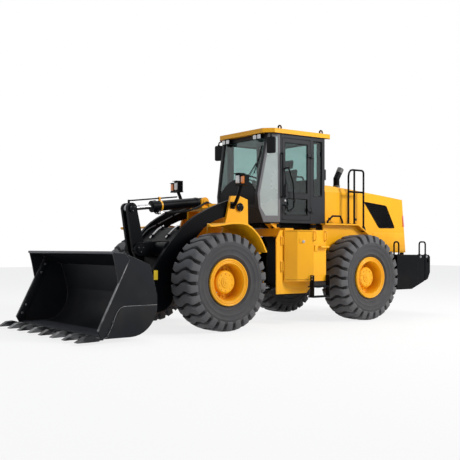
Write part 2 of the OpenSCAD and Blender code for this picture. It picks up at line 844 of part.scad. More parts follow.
// Walkway and inner liner over each rear tyre.
module rear_deck() {
    liner_y = tyre_in - 45;
    front = -axle_x + 690;
    rear = -axle_x - 200;
    color(YELLOW) place() both_sides() {
        slab(liner_y, 905) polygon([
            [front, deck_z], [rear, deck_z], [rear - 376, 1562], [rear - 390, 1536], [rear + 12, deck_z - 25],
            [front, deck_z - 25]
        ]);
        slab(liner_y, liner_y + 20) polygon([[front - 40, 1310], [rear - 150, 1220], [rear - 350, 1560],
                                             [rear, deck_z - 10], [front - 40, deck_z - 10]]);
        span([front - 150, rail_out, 1320], [front - 90, liner_y + 10, 1370]);
        span([rear - 140, rail_out, 1230], [rear - 80, liner_y + 10, 1280]);
    }
}

// Hood cross-section in [y, z], shrunk inwards by d.
module hood_section(d, wide) {
    top = hood_front_z - d;
    half = wide - d;
    polygon([
        [-half, 1000], [half, 1000], [half, top - 150], [half - 30, top - 70], [half - 90, top - 20],
        [half - 170, top], [-half + 170, top], [-half + 90, top - 20], [-half + 30, top - 70], [-half, top - 150]
    ]);
}

module hood_solid(d, wide) {
    drop = hood_front_z - hood_rear_z;
    intersection() {
        translate([hood_rear_x + d, 0, 0]) rotate([90, 0, 90])
            linear_extrude(hood_front_x - hood_rear_x - 2 * d) hood_section(d, wide);
        slab(-900, 900) polygon([
            [hood_front_x - d, hood_front_z - d], [hood_rear_x + 112 + d, hood_rear_z - d],
            [hood_rear_x + d, hood_low_z - d], [-axle_x - 650, hood_low_z - d],
            [-axle_x - 245, deck_z + 10 - d], [hood_front_x - d, deck_z + 10 - d]
        ]);
    }
}

// Engine hood as a shell, with the wider rear hips and its two hinge ears.
module hood() {
    y = hood_ear_y;
    color(YELLOW) place() difference() {
        union() {
            difference() {
                hood_solid(0, hood_half);
                hood_solid(hood_t, hood_half);
            }
            both_sides() slab(y, y + hood_ear_t) union() {
                translate(HOOD_HINGE) circle(r = 46);
                polygon([HOOD_HINGE + [-20, -40], HOOD_HINGE + [160, -40], HOOD_HINGE + [160, 60],
                         HOOD_HINGE + [-42, 60]]);
            }
            both_sides() slab(y, hood_half - 10) polygon([HOOD_HINGE + [110, -40], HOOD_HINGE + [160, -40],
                         HOOD_HINGE + [160, 60], HOOD_HINGE + [110, 60]]);
        }
        both_sides() slab(hood_half - hood_t - 1, hood_half + 1) polygon(GRILLE);
        both_sides() bar(HOOD_HINGE, hood_pin_r + pin_gap, y - 12, y + hood_ear_t + 1);
        both_sides() bar(HOOD_HINGE, 124, y + hood_ear_t, y + hood_ear_t + 44);
        span([hood_rear_x - 200, -480, rear_grille_low], [hood_rear_x + 150, 480, rear_grille_high]);
    }
}

// Side and rear grilles, exhaust and tail lamps, all carried by the hood.
module hood_trim() {
    color(BLACK) place() union() {
        both_sides() intersection() {
            slab(hood_half - hood_t, hood_half - 6) polygon(GRILLE);
            union() {
                for (i = [0 : 11]) span([hood_rear_x, 0, 1752 + 44 * i], [hood_front_x, 900, 1774 + 44 * i]);
                for (x = [491, 741, 991]) span([hood_rear_x + x, 0, 1700], [hood_rear_x + x + 20, 900, 2300]);
            }
        }
        rise = (rear_grille_high - rear_grille_low - 8) / 15.7;
        for (i = [0 : 15]) {
            x = hood_rear_x + 21 + 3 * i;
            z = rear_grille_low + 4 + rise * i;
            span([x, -480, z], [x + 26, 480, z + 22]);
        }
        for (y = [-300, 0, 300]) slab(y - 10, y + 10)
            polygon([[hood_rear_x + 21, rear_grille_low], [hood_rear_x + 45, rear_grille_low],
                     [hood_rear_x + 92, rear_grille_high], [hood_rear_x + 68, rear_grille_high]]);
        pipe_x = hood_rear_x + 1431;
        difference() {
            union() {
                translate([pipe_x, 150, 2400]) cylinder(r = 62, h = 340);
                translate([pipe_x, 150, 2735]) sphere(r = 63);
                rod([pipe_x, 150, 2735], [pipe_x - 100, 150, 2905], 62);
            }
            hood_solid(0, hood_half);
        }
    }
}

// Cab door frame: outer panel with two window openings and the moving hinge halves.
module cab_door() {
    x0 = door_rear_x + door_gap;
    x1 = door_front_x - door_gap;
    y0 = cab_half - door_t;
    color(BLACK) place() difference() {
        union() {
            span([x0, y0, sill_z + door_gap], [x1, cab_half, head_z - door_gap]);
            for (z = DOOR_HINGE_Z) {
                z0 = z + hinge_foot + 0.3;
                translate([DOOR_HINGE[0], DOOR_HINGE[1], z0]) cylinder(r = door_hinge_r + 8, h = sleeve_h);
                span([DOOR_HINGE[0], cab_half + 6, z0], [DOOR_HINGE[0] + 90, DOOR_HINGE[1] + 12, z0 + sleeve_h]);
                span([x0, cab_half - 4, z0], [DOOR_HINGE[0] + 90, cab_half + 8, z0 + sleeve_h]);
            }
            span([x1 - 80, cab_half - 5, 2260], [x1 - 50, cab_half + 45, 2290]);
            span([x1 - 80, cab_half - 5, 2460], [x1 - 50, cab_half + 45, 2490]);
            span([x1 - 80, cab_half + 25, 2260], [x1 - 50, cab_half + 45, 2490]);
        }
        for (z = DOOR_HINGE_Z) translate([DOOR_HINGE[0], DOOR_HINGE[1], z])
            cylinder(r = door_hinge_r + pin_gap, h = hinge_foot + sleeve_h + 20);
        door_windows(y0 - 1, cab_half + 1);
    }
}

// The door's upper and lower panes.
module door_windows(y0, y1) {
    x0 = door_rear_x + door_gap + 60;
    x1 = door_front_x - door_gap - 60;
    slab(y0, y1) polygon([[x0, 2340], [x1 - 60, 2340], [x1 - 60, 2420], [x1, 2480], [x1, head_z - 80], [x0, head_z - 80]]);
    slab(y0, y1) polygon([[x0, sill_z + 90], [x1, sill_z + 90], [x1, 2180], [x1 - 60, 2250], [x0, 2250]]);
}

module door_glass() {
    y = cab_half - door_t / 2;
    color(GLASS) place() door_windows(y - glass_t / 2, y + glass_t / 2);
}

// Front machine half.

module front_fork(z) {
    translate([0, 0, z]) linear_extrude(hinge_t) difference() {
        union() {
            circle(r = hinge_r);
            polygon([[0, hinge_r], [fork_x, box_out], [fork_x + 40, box_out], [fork_x + 40, -box_out],
                     [fork_x, -box_out], [0, -hinge_r]]);
        }
        circle(r = pin_r + pin_gap);
    }
}

module front_frame() {
    pair = [-hinge_t * 1.5 - hinge_gap, hinge_t / 2 + hinge_gap];
    color(YELLOW) place() union() {
        for (z = [hinge_low_z, hinge_top_z], dz = pair) front_fork(z + dz);
        both_sides() slab(box_in, box_out) polygon([
            [fork_x, 560], [axle_x - 300, 560], [axle_x - 200, 955], [axle_x + 200, 955], [axle_x + 250, 760],
            [axle_x + 430, 760], [axle_x + 430, 1020], [axle_x + 100, 1200], [1320, 1560], [1280, 2120], [tower_rear_x, 2120], [tower_rear_x, 1560], [fork_x, 1400]
        ]);
        span([fork_x, -box_in, 560], [fork_x + 30, box_in, 680]);
        span([fork_x, -box_in, 960], [fork_x + 30, box_in, 1400]);
        span([axle_x - 370, -box_in, 560], [axle_x - 330, box_in, 700]);
        span([axle_x + 390, -box_in, 760], [axle_x + 430, box_in, 1020]);
        span([tower_rear_x, -box_in, 1560], [tower_rear_x + 30, box_in, 2120]);
        span([1060, -box_in, 2000], [1280, box_in, 2050]);
        span([tower_rear_x, -box_out, 1930], [bar_x, box_out, 2045]);
        both_sides() lift_clevis();
        both_sides() tilt_ear();
        bar(TILT, link_pin_r, -eye_half - side_gap - 60, eye_half + side_gap + 60);
        both_sides() steer_lug(STEER_EYE, box_out - 10, steer_lug_r + 20);
    }
}

// Plates that carry the boom's pivot pins on both sides of the front frame.
module boom_towers() {
    color(YELLOW) place() both_sides() tower();
}

// Outer and inner tower plates with the boom's pivot pin between them.
module tower() {
    slab(tower_in, tower_out) polygon([
        [790, 720], [axle_x - 230, 720], [1300, 1500], [1180, 1860], [1085, 2240], [900, 2250], [tower_rear_x, 2190],
        [tower_rear_x - 10, 1760], [790, 1690]
    ]);
    slab(post_out - post_t, post_out) union() {
        translate(BOOM) circle(r = 120);
        polygon([[tower_rear_x, 1930], BOOM + [0, -120], BOOM + [0, 120], [tower_rear_x, 2150]]);
    }
    bar(BOOM, pin_r, post_out - post_t - 10, tower_out + 18);
    span([900, box_out + 0.3, 720], [axle_x - 250, tower_in + 10, 900]);
    span([tower_rear_x, box_out + 0.3, 1930], [bar_x, tower_out, 2045]);
}

module lift_clevis() {
    for (y = [box_out - 20, lift_y + eye_half + 20]) slab(y, y + 50) union() {
        translate(LIFT) circle(r = 88);
        polygon([LIFT + [-88, 0], LIFT + [-70, -140], LIFT + [100, -140], LIFT + [88, 0]]);
    }
    span([LIFT[0] - 70, box_in, 706], [LIFT[0] + 100, lift_y + eye_half + 70, 745]);
    bar(LIFT, cyl_pin_r, box_out - 20, lift_y + eye_half + 70);
}

module tilt_ear() {
    y = eye_half + side_gap;
    slab(y, y + 50) union() {
        translate(TILT) circle(r = 82);
        polygon([TILT + [-82, 0], [1080, 2020], [1275, 2020], TILT + [82, 0]]);
    }
}

module front_axle() {
    place() {
        mirror([1, 0, 0]) axle(-axle_x, 955, 260);
        color(GREY) rod([axle_x - 250, 0, axle_z], [fork_x + 20, 0, axle_z + 20], 50);
    }
}

// Curved guards over the front tyres.
module front_fenders() {
    t = 25;
    wide = 1400;
    shape = [[394, 134], [345, 106], [130, 132], [-93, 159], [-361, 140], [-572, -4], [-690, -160], [-776, -317]];
    path = smooth([for (p = shape) [axle_x, tyre_d] + p], 3);
    under = [for (i = [len(path) - 1 : -1 : 0]) path[i] + t * left_of(path, i)];
    color(YELLOW) place() both_sides() intersection() {
        slab(tower_out, wide) polygon(concat(path, under));
        translate([0, 0, axle_z]) linear_extrude(tyre_d) polygon([
            [axle_x - 900, tower_out], [axle_x - 190, tower_out], [axle_x + 410, wide - 60], [axle_x + 410, wide],
            [axle_x - 900, wide]
        ]);
    }
}

module headlamps() {
    color(BLACK) place() both_sides() {
        bent_tube([[1050, tower_out + 0.3, 2080], [1050, 745, 2080], [1056, 840, 2200], [1064, 920, 2340], [1070, 970, 2400]],
                  20, [1, 0, 0]);
        span([1015, 860, 2395], [1130, 1130, 2415]);
        span([1020, 865, 2410], [1125, 1005, 2600]);
        span([1035, 1015, 2410], [1122, 1125, 2570]);
    }
}

// Boom: two profiled arms, the cross tube and the bellcrank brackets.
module boom() {
    color(BLACK) place() difference() {
        union() {
            both_sides() slab(arm_y, arm_out) union() {
                polygon(concat(
                    [BOOM + [-70, 75]],
                    smooth([[1007, 2190], [1450, 2040], [1887, 1813], [2200, 1520], [2378, 1317], [2640, 966], [2776, 690]], 3),
                    [BPIN + [44, 80], BPIN + [-55, -88]],
                    smooth([[2780, 300], [2480, 320], [2290, 420], [2180, 640], [2090, 1100], [1800, 1480], [1500, 1760],
                            [1000, 1930]], 3),
                    [BOOM + [-70, -75]]
                ));
                translate(BOOM) circle(r = 104);
                translate(BPIN) circle(r = 104);
            }
            bar(TUBE, tube_r, -arm_y - 10, arm_y + 10);
            both_sides() slab(bracket_in, bracket_in + bracket_t) union() {
                translate(CRANK) circle(r = 108);
                polygon([TUBE + [-70, 140], CRANK + [-20, 104], CRANK + [-20, -104], TUBE + [-70, -140]]);
            }
            both_sides() bar(LEYE, 90, lift_y + eye_half + 20, arm_y + 5);
        }
        both_sides() bar(BOOM, pin_r + pin_gap, arm_y - 1, arm_out + 1);
        both_sides() bar(BPIN, pin_r + pin_gap, arm_y - 1, arm_out + 1);
        both_sides() bar(CRANK, link_pin_r + pin_gap, bracket_in - 1, bracket_in + bracket_t + 1);
    }
}

// Pins at the boom tips that turn with the levelled bucket.
module bucket_pins() {
    color(GREY) place() both_sides() bar(BPIN, pin_r, arm_y - 62, arm_out + 62);
}

module bellcrank_pin() {
    reach = bracket_in + bracket_t + 8;
    color(GREY) place() bar(CRANK, link_pin_r, -reach, reach);
}

module bellcrank() {
    color(BLACK) place() difference() {
        both_sides() slab(crank_in, crank_out) union() {
            translate(TOP) circle(r = 92);
            translate(CRANK) circle(r = 112);
            translate(LOW) circle(r = 84);
            polygon([TOP + [-92, -10], CRANK + [-112, 40], CRANK + [-112, -20], LOW + [-84, 0], LOW + [72, 40],
                     CRANK + [52, -150], CRANK + [106, -30], CRANK + [120, 60], TOP + [92, 0]]);
        }
        bar(CRANK, link_pin_r + pin_gap, -crank_out - 1, crank_out + 1);
        bar(LOW, link_pin_r + pin_gap, -crank_out - 1, crank_out + 1);
    }
    color(GREY) place() both_sides() bar(TOP, link_pin_r, crank_out, crank_out + 14);
}

module link_pin() {
    color(GREY) place() bar(LOW, link_pin_r, -crank_out - 8, crank_out + 8);
}

module bucket_link() {
    reach = norm(BLINK - LOW);
    color(BLACK) place() along(LOW, BLINK) slab(-eye_half, eye_half) difference() {
        union() {
            circle(r = 82);
            translate([reach, 0]) circle(r = 64);
            polygon([[0, 62], [reach, 52], [reach, -52], [0, -62]]);
        }
        for (x = [0, reach]) translate([x, 0]) circle(r = link_pin_r + pin_gap);
    }
}

// Bucket shell: rolled heel, floor, back and forward-leaning lip between side plates.
HEEL = [3520, 515];
floor_z = HEEL[1] - heel_r;
back_x = HEEL[0] - heel_r;

module bucket_outline() {
    intersection() {
        difference() {
            translate(HEEL) circle(r = heel_r, $fn = 96);
            translate(HEEL) circle(r = heel_r - bucket_t, $fn = 96);
        }
        translate([HEEL[0] - 600, HEEL[1] - 600]) square([600, 600]);
    }
    translate([HEEL[0] - 1, floor_z]) square([3990 - HEEL[0], bucket_t]);
    polygon([[back_x, HEEL[1] - 1], [back_x + bucket_t, HEEL[1] - 1], [back_x + bucket_t, 650],
             [3190 + bucket_t, 1072], [3600, 1235], [3810, 1268], [3810, 1298], [3591, 1268], [3190, 1104],
             [back_x, 655]]);
}

module bucket_side() {
    polygon(concat(
        [[4044, 176], [3985, floor_z], [HEEL[0], floor_z]],
        [for (a = [-100 : -10 : -180]) HEEL + heel_r * [cos(a), sin(a)]],
        [[back_x, 655], [3190, 1104], [3560, 1250], [3537, 1172]]
    ));
}

module bucket() {
    half = bucket_w / 2;
    color(BLACK) place() difference() {
        union() {
            slab(-half + 5, half - 5) bucket_outline();
            both_sides() slab(half - bucket_side_t, half) bucket_side();
            span([3960, -half, floor_z - 14], [4130, half, floor_z + 22]);
            both_sides() slab(half - 24, half - 2)
                polygon([[3716, 850], [3760, 1080], [3810, 1290], [3591, 1262], [3520, 1150]]);
            both_sides() for (y = [arm_y - 58, arm_out + 15]) slab(y, y + 43) bucket_lug();
            both_sides() slab(crank_in, crank_in + 50) link_lug();
            both_sides() bar(BLINK, link_pin_r, crank_in, crank_in + 62);
        }
        both_sides() bar(BPIN, pin_r + pin_gap, arm_y - 60, arm_out + 60);
    }
}

// Middle of the bucket's back wall at height z.
function back_mid(z) =
    let (r = heel_r - bucket_t / 2)
        z < HEEL[1] ? HEEL[0] - sqrt(r * r - (HEEL[1] - z) * (HEEL[1] - z))
                    : back_x + bucket_t / 2 + max(0, z - 655) * (3190 - back_x) / (1104 - 655);

// Outline points that follow the back wall from height z0 down to z1.
function back_points(z0, z1) = [for (i = [0 : 4]) let (z = z0 + (z1 - z0) * i / 4) [back_mid(z), z]];

// Lug plate on the bucket's back for the boom pin.
module bucket_lug() {
    translate(BPIN) circle(r = 102);
    polygon(concat([BPIN + [-70, 74]], back_points(700, 200), [BPIN + [160, -140], BPIN + [-60, -84]]));
}

// Lug plate on the bucket's back for the link pin.
module link_lug() {
    translate(BLINK) circle(r = 78);
    polygon(concat([BLINK + [-50, 60]], back_points(850, 440), [BLINK + [-50, -60]]));
}

// Row of adapters and pointed teeth on the cutting edge.
module bucket_teeth() {
    half = bucket_w / 2;
    pitch = (bucket_w - tooth_w) / (tooth_n - 1);
    lip_top = floor_z + 22;
    lip_low = floor_z - 14;
    color(BLACK) place() for (i = [0 : tooth_n - 1]) {
        y = -half + i * pitch;
        slab(y, y + tooth_w) polygon([
            [4010, lip_top], [4130, lip_top], [4130, lip_low], [4020, lip_low], [4020, lip_low - 12],
            [4190, lip_low - 16], [tooth_tip_x, 33], [tooth_tip_x, 40], [4230, lip_top + 26], [4120, lip_top + 34]
        ]);
    }
}

// Hydraulic cylinders, built along +X from their base pins.

module barrel(r, length, half, eye_r, bore_r, neck) {
    color(BLACK) difference() {
        union() {
            bar([0, 0], eye_r, -half, half);
            rotate([0, 90, 0]) translate([0, 0, bore_r + 10]) cylinder(r = half - 4, h = neck - bore_r);
            rotate([0, 90, 0]) translate([0, 0, neck]) cylinder(r = r, h = length - neck);
            rotate([0, 90, 0]) translate([0, 0, length - 70]) cylinder(r = r + 12, h = 70);
        }
        bar([0, 0], bore_r, -half - 1, half + 1);
        rotate([0, 90, 0]) translate([0, 0, neck + 20]) cylinder(r = r - 14, h = length - neck - 60);
    }
}

// Bore for the rod through a barrel's head.
module head_bore(r, length) {
    rotate([0, 90, 0]) translate([0, 0, length - 60]) cylinder(r = r, h = 61);
}

// Rod from inside the barrel to its eye, with the piston left out.
module piston_rod(r, start, reach, half, eye_r, bore_r) {
    color(CHROME) difference() {
        union() {
            rotate([0, 90, 0]) translate([0, 0, start]) cylinder(r = r, h = reach - eye_r - start + 10);
            bar([reach, 0], eye_r, -half, half);
        }
        bar([reach, 0], bore_r, -half - 1, half + 1);
    }
}

module tilt_barrel() {
    place() along(TILT, TOP) difference() {
        barrel(tilt_r, tilt_len, eye_half, 80, link_pin_r + pin_gap, 100);
        head_bore(tilt_rod_r + pin_gap, tilt_len);
    }
}

module tilt_rod() {
    place() along(TILT, TOP)
        piston_rod(tilt_rod_r, 620, norm(TOP - TILT), eye_half, 76, link_pin_r + pin_gap);
}

module lift_barrel(side) {
    place() translate([0, side * lift_y, 0]) along(LIFT, LEYE) difference() {
        barrel(lift_r, lift_len, eye_half, 82, cyl_pin_r + pin_gap, 106);
        head_bore(lift_rod_r + pin_gap, lift_len);
    }
}

module lift_rod(side) {
    place() translate([0, side * lift_y, 0]) along(LIFT, LEYE)
        piston_rod(lift_rod_r, 190, norm(LEYE - LIFT), eye_half, 80, cyl_pin_r + pin_gap);
}

// Steering cylinders lie flat, so the side-view builder is turned onto its side.
module steer_line(side) {
    d = STEER_EYE - STEER_BASE;
    translate([STEER_BASE[0], side * STEER_BASE[1], steer_z])
        rotate([0, 0, side * atan2(d[1], d[0])]) rotate([90, 0, 0]) children();
}

module steer_barrel(side) {
    place() steer_line(side) difference() {
        barrel(steer_r, steer_len, steer_lug_gap - 6, 54, cyl_pin_r + pin_gap, 84);
        head_bore(steer_rod_r + pin_gap, steer_len);
    }
}

module steer_rod(side) {
    place() steer_line(side)
        piston_rod(steer_rod_r, 374, norm(STEER_EYE - STEER_BASE), steer_lug_gap - 6, 48, 30);
}

// Left and right copies.
module lift_barrel_left() { lift_barrel(1); }
module lift_barrel_right() { lift_barrel(-1); }
module lift_rod_left() { lift_rod(1); }
module lift_rod_right() { lift_rod(-1); }
module steer_barrel_left() { steer_barrel(1); }
module steer_barrel_right() { steer_barrel(-1); }
module steer_rod_left() { steer_rod(1); }
module steer_rod_right() { steer_rod(-1); }
module tyre_front_left() { wheel_at(1, 1) tyre(1); }
module tyre_front_right() { wheel_at(1, -1) tyre(-1); }
module tyre_rear_left() { wheel_at(-1, 1) tyre(1); }
module tyre_rear_right() { wheel_at(-1, -1) tyre(-1); }
module rim_front_left() { wheel_at(1, 1) rim(); }
module rim_front_right() { wheel_at(1, -1) rim(); }
module rim_rear_left() { wheel_at(-1, 1) rim(); }
module rim_rear_right() { wheel_at(-1, -1) rim(); }

rear_frame();
hinge_pins();
rear_axle();
counterweight();
weight_wings();
engine();
cab_base();
cab_frame();
cab_roof();
cab_glass();
seat();
cab_console();
roof_lamps();
mirrors();
side_box_left();
side_box_right();
steps();
handrails_left();
handrails_right();
rear_deck();
hood();
hood_trim();
cab_door();
door_glass();
box_door();
front_frame();
boom_towers();
front_axle();
front_fenders();
headlamps();
boom();
bucket_pins();
bucket();
bucket_teeth();
bellcrank_pin();
bellcrank();
link_pin();
bucket_link();
tilt_barrel();
tilt_rod();
lift_barrel_left();
lift_barrel_right();
lift_rod_left();
lift_rod_right();
steer_barrel_left();
steer_barrel_right();
steer_rod_left();
steer_rod_right();
tyre_front_left();
tyre_front_right();
tyre_rear_left();
tyre_rear_right();
rim_front_left();
rim_front_right();
rim_rear_left();
rim_rear_right();
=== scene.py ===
"""Looks of an articulated wheel loader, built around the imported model.

Points are written in millimetres from the ground below the steering hinge, as the machine's own
drawing gives them (x forward, y to the machine's left, z up), and at() turns them into the frame's metres.
"""

import json
import math

import bmesh
import bpy
from mathutils import Matrix, Vector


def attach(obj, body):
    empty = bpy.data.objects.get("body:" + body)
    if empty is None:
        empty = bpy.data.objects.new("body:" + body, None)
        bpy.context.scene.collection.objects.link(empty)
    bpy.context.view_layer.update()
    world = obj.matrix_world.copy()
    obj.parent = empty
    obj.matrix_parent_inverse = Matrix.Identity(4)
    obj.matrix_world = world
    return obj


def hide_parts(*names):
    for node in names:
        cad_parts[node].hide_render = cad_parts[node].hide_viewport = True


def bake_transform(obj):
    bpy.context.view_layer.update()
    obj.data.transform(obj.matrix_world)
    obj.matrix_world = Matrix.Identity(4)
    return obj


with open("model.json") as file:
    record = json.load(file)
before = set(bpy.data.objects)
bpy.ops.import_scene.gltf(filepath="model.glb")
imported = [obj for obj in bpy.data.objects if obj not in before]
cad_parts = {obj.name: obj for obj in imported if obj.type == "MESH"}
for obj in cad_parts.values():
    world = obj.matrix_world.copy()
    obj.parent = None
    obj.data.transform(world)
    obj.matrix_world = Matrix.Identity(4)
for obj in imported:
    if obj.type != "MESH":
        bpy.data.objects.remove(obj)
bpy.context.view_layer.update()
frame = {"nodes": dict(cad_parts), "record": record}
NODES = frame["nodes"]

# Driving sizes, in millimetres; WIRE_SLANT is in radians, PAD_VOXEL and SEAM_WIDTH are in metres
HINGE_TO_MIDDLE = 325
AXLE_X = 1650
AXLE_Z = 800
WHEEL_Y = 1120
TYRE_R = 800
LUG_COUNT = 26
LUG_HALF = 66
LUG_WAVE = 47
LUG_WAVE_END = 240
HUB_FACE = 172
CAB_HALF = 760
CAB_REAR = -1080
CAB_TOP = 3400
NOSE_X = 427
NOSE_Z = 2310
NOSE_HALF = 590
SCREEN_TOP_X = 232
HOOD_HALF = 720
HOOD_REAR = (-3441, 1255)
REAR_LEAN = (112, 1077)
SIDE_GRILLE = ((-2195, 2251), (-2840, 2193), (-3098, 1754), (-2632, 1747))
WIRE_SLANT = 0.6
PAD_VOXEL = 0.009
PAD_FRAMES = 20
PAD_PRESSURE = 4
SEAM_WIDTH = 0.011
BOX_SIDE = 1250
RAIL_Y = 850
WEAR_FACE = 1487

# The sign of y and the name of each side
SIDES = ((1, "left"), (-1, "right"))

# Linkage points in the side view
BOOM_PIVOT = (900, 2050)
BUCKET_PIN = (2960, 370)
CRANK_PIVOT = (2567, 1333)
CRANK_TOP = (2690, 2005)
TILT_BASE = (1200, 2160)
LIFT_BASE = (300, 850)
LIFT_EYE = (1900, 1500)

# The photograph's view: a 460 by 460 frame and a camera fitted to the wheels and the cab
FRAME_PX = 460
FOCAL_PX = 769.7
CENTRE_PX = (219.7, 252.0)
CAMERA_POINT = (9143, 11116, 1356)
CAMERA_YAW = math.radians(36.87)
CAMERA_PITCH = math.radians(-0.33)
SENSOR_MM = 36


def at(x, y, z):
    """A point of the machine's drawing in the frame's metres."""
    return Vector(((x - HINGE_TO_MIDDLE) / 1000, y / 1000, z / 1000))


def mm(length):
    """Millimetres in metres."""
    return length / 1000


# Mesh tools


def add_mesh(name, verts, faces, smooth=None):
    """A mesh object at the origin; smooth is the angle in degrees below which edges are shaded round."""
    mesh = bpy.data.meshes.new(name)
    mesh.from_pydata([tuple(v) for v in verts], [], faces)
    mesh.validate()
    obj = bpy.data.objects.new(name, mesh)
    bpy.context.scene.collection.objects.link(obj)
    face_outwards(obj)
    if smooth:
        shade(obj, smooth)
    return obj


def face_outwards(obj):
    """Joins points that fall together and turns all faces outwards."""
    work = bmesh.new()
    work.from_mesh(obj.data)
    bmesh.ops.remove_doubles(work, verts=work.verts, dist=1e-5)
    bmesh.ops.recalc_face_normals(work, faces=work.faces)
    work.to_mesh(obj.data)
    work.free()


def shade(obj, angle):
    """Round shading over edges below the angle, and sharp ones above it."""
    work = bmesh.new()
    work.from_mesh(obj.data)
    for face in work.faces:
        face.smooth = True
    limit = math.radians(angle)
    for edge in work.edges:
        edge.smooth = len(edge.link_faces) == 2 and edge.calc_face_angle(math.pi) < limit
    work.to_mesh(obj.data)
    work.free()


def apply_modifiers(obj):
    """Replaces the object's mesh by its evaluated one and drops the modifiers."""
    depsgraph = bpy.context.evaluated_depsgraph_get()
    mesh = bpy.data.meshes.new_from_object(obj.evaluated_get(depsgraph))
    obj.modifiers.clear()
    obj.data = mesh
    return obj


def rounded(obj, width, segments=2, angle=35):
    """Rounds the edges by width millimetres."""
    bevel = obj.modifiers.new("round", "BEVEL")
    bevel.width = mm(width)
    bevel.segments = segments
    bevel.limit_method = "ANGLE"
    bevel.angle_limit = math.radians(angle)
    bevel.harden_normals = False
    apply_modifiers(obj)
    shade(obj, 40)
    return obj


def join(name, objs):
    """One object from several, kept at the origin."""
    work = bmesh.new()
    for obj in objs:
        work.from_mesh(obj.data)
    mesh = bpy.data.meshes.new(name)
    work.to_mesh(mesh)
    work.free()
    for obj in objs:
        bpy.data.objects.remove(obj)
    joined = bpy.data.objects.new(name, mesh)
    bpy.context.scene.collection.objects.link(joined)
    return joined


def even_turns(count):
    """Angles evenly round a circle."""
    return [2 * math.pi * k / count for k in range(count)]


def strips(rings, n, loop=False, around=True):
    """Faces between rings of n points: loop joins the last ring to the first, around closes each ring."""
    faces = []
    for i in range(rings if loop else rings - 1):
        here = i * n
        there = (i + 1) % rings * n
        for k in range(n if around else n - 1):
            j = (k + 1) % n
            faces.append((here + k, here + j, there + j, there + k))
    return faces


def end_caps(rings, n):
    """The first and the last of some rings of n points as faces."""
    return [tuple(range(n)), tuple(range((rings - 1) * n, rings * n))]


def turned(name, section, segments=96):
    """A turned ring about the Y axis with a closed section of (radius, y) points in metres."""
    verts = []
    for a in even_turns(segments):
        verts += [(r * math.sin(a), y, r * math.cos(a)) for r, y in section]
    return add_mesh(name, verts, strips(segments, len(section), loop=True))


def capped(name, ends):
    """A closed solid between two outlines with as many points each."""
    n = len(ends[0])
    return add_mesh(name, ends[0] + ends[1], end_caps(2, n) + strips(2, n))


def prism(name, outline, low, high):
    """A plate with a side-view outline of (x, z) points from y low to y high."""
    return capped(name, [[at(x, y, z) for x, z in outline] for y in (low, high)])


def side_prism(name, outline, side, low, high):
    """A plate between two distances from the middle plane on the left, or its mirror image for side -1."""
    return prism(name, outline, *sorted((side * low, side * high)))


def block(name, low, high):
    """A box between two corners."""
    (x0, y0, z0), (x1, y1, z1) = low, high
    return prism(name, [(x0, z0), (x1, z0), (x1, z1), (x0, z1)], y0, y1)


def side_block(name, side, low, high, edge, segments=2):
    """A box with rounded edges between two corners on the left, or its mirror image for side -1."""
    (x0, a, z0), (x1, b, z1) = low, high
    y0, y1 = sorted((side * a, side * b))
    return rounded(block(name, (x0, y0, z0), (x1, y1, z1)), edge, segments)


def smooth_path(points, steps=6):
    """Extra points on a smooth curve through the given ones."""
    pts = [points[0]] + list(points) + [points[-1]]
    path = []
    for p0, p1, p2, p3 in zip(pts, pts[1:], pts[2:], pts[3:]):
        bend = 2 * p0 - 5 * p1 + 4 * p2 - p3
        twist = 3 * p1 - p0 - 3 * p2 + p3
        for s in range(steps):
            t = s / steps
            path.append(0.5 * (2 * p1 + (p2 - p0) * t + bend * t * t + twist * t * t * t))
    return path + [points[-1]]


def eased(points, ease, steps=4, closed=False):
    """The path with each corner rounded over ease millimetres; the points are in metres."""
    path = []
    n = len(points)
    for i, p in enumerate(points):
        if not closed and i in (0, n - 1):
            path.append(p)
            continue
        a = points[i - 1]
        b = points[(i + 1) % n]
        before = p + (a - p).normalized() * min(mm(ease), 0.49 * (a - p).length)
        after = p + (b - p).normalized() * min(mm(ease), 0.49 * (b - p).length)
        for s in range(steps + 1):
            t = s / steps
            path.append(before * (1 - t) ** 2 + p * 2 * t * (1 - t) + after * t * t)
    return path


def tube(name, path, radius, sides=12, closed=False):
    """A tube of that radius in millimetres along points in metres, with end caps or as a loop."""
    r = mm(radius)
    n = len(path)
    verts = []
    normal = None
    for i, p in enumerate(path):
        if closed:
            ahead = (path[(i + 1) % n] - path[i - 1]).normalized()
        else:
            ahead = (path[min(i + 1, n - 1)] - path[max(i - 1, 0)]).normalized()
        if normal is None:
            normal = ahead.orthogonal().normalized()
        normal = (normal - ahead * normal.dot(ahead)).normalized()
        other = ahead.cross(normal)
        for a in even_turns(sides):
            verts.append(p + normal * (r * math.cos(a)) + other * (r * math.sin(a)))
    faces = strips(n, sides, loop=closed)
    if not closed:
        faces += end_caps(n, sides)
    return add_mesh(name, verts, faces, smooth=50)


def lathe(name, start, end, profile, sides=28):
    """A turned piece on the line from start to end, from (distance along, radius) points in millimetres."""
    foot = at(*start)
    axis = (at(*end) - foot).normalized()
    u = axis.orthogonal().normalized()
    v = axis.cross(u)
    verts = []
    for along, r in profile:
        for t in even_turns(sides):
            verts.append(foot + axis * mm(along) + (u * math.cos(t) + v * math.sin(t)) * mm(r))
    n = len(profile)
    return add_mesh(name, verts, end_caps(n, sides) + strips(n, sides), smooth=32)


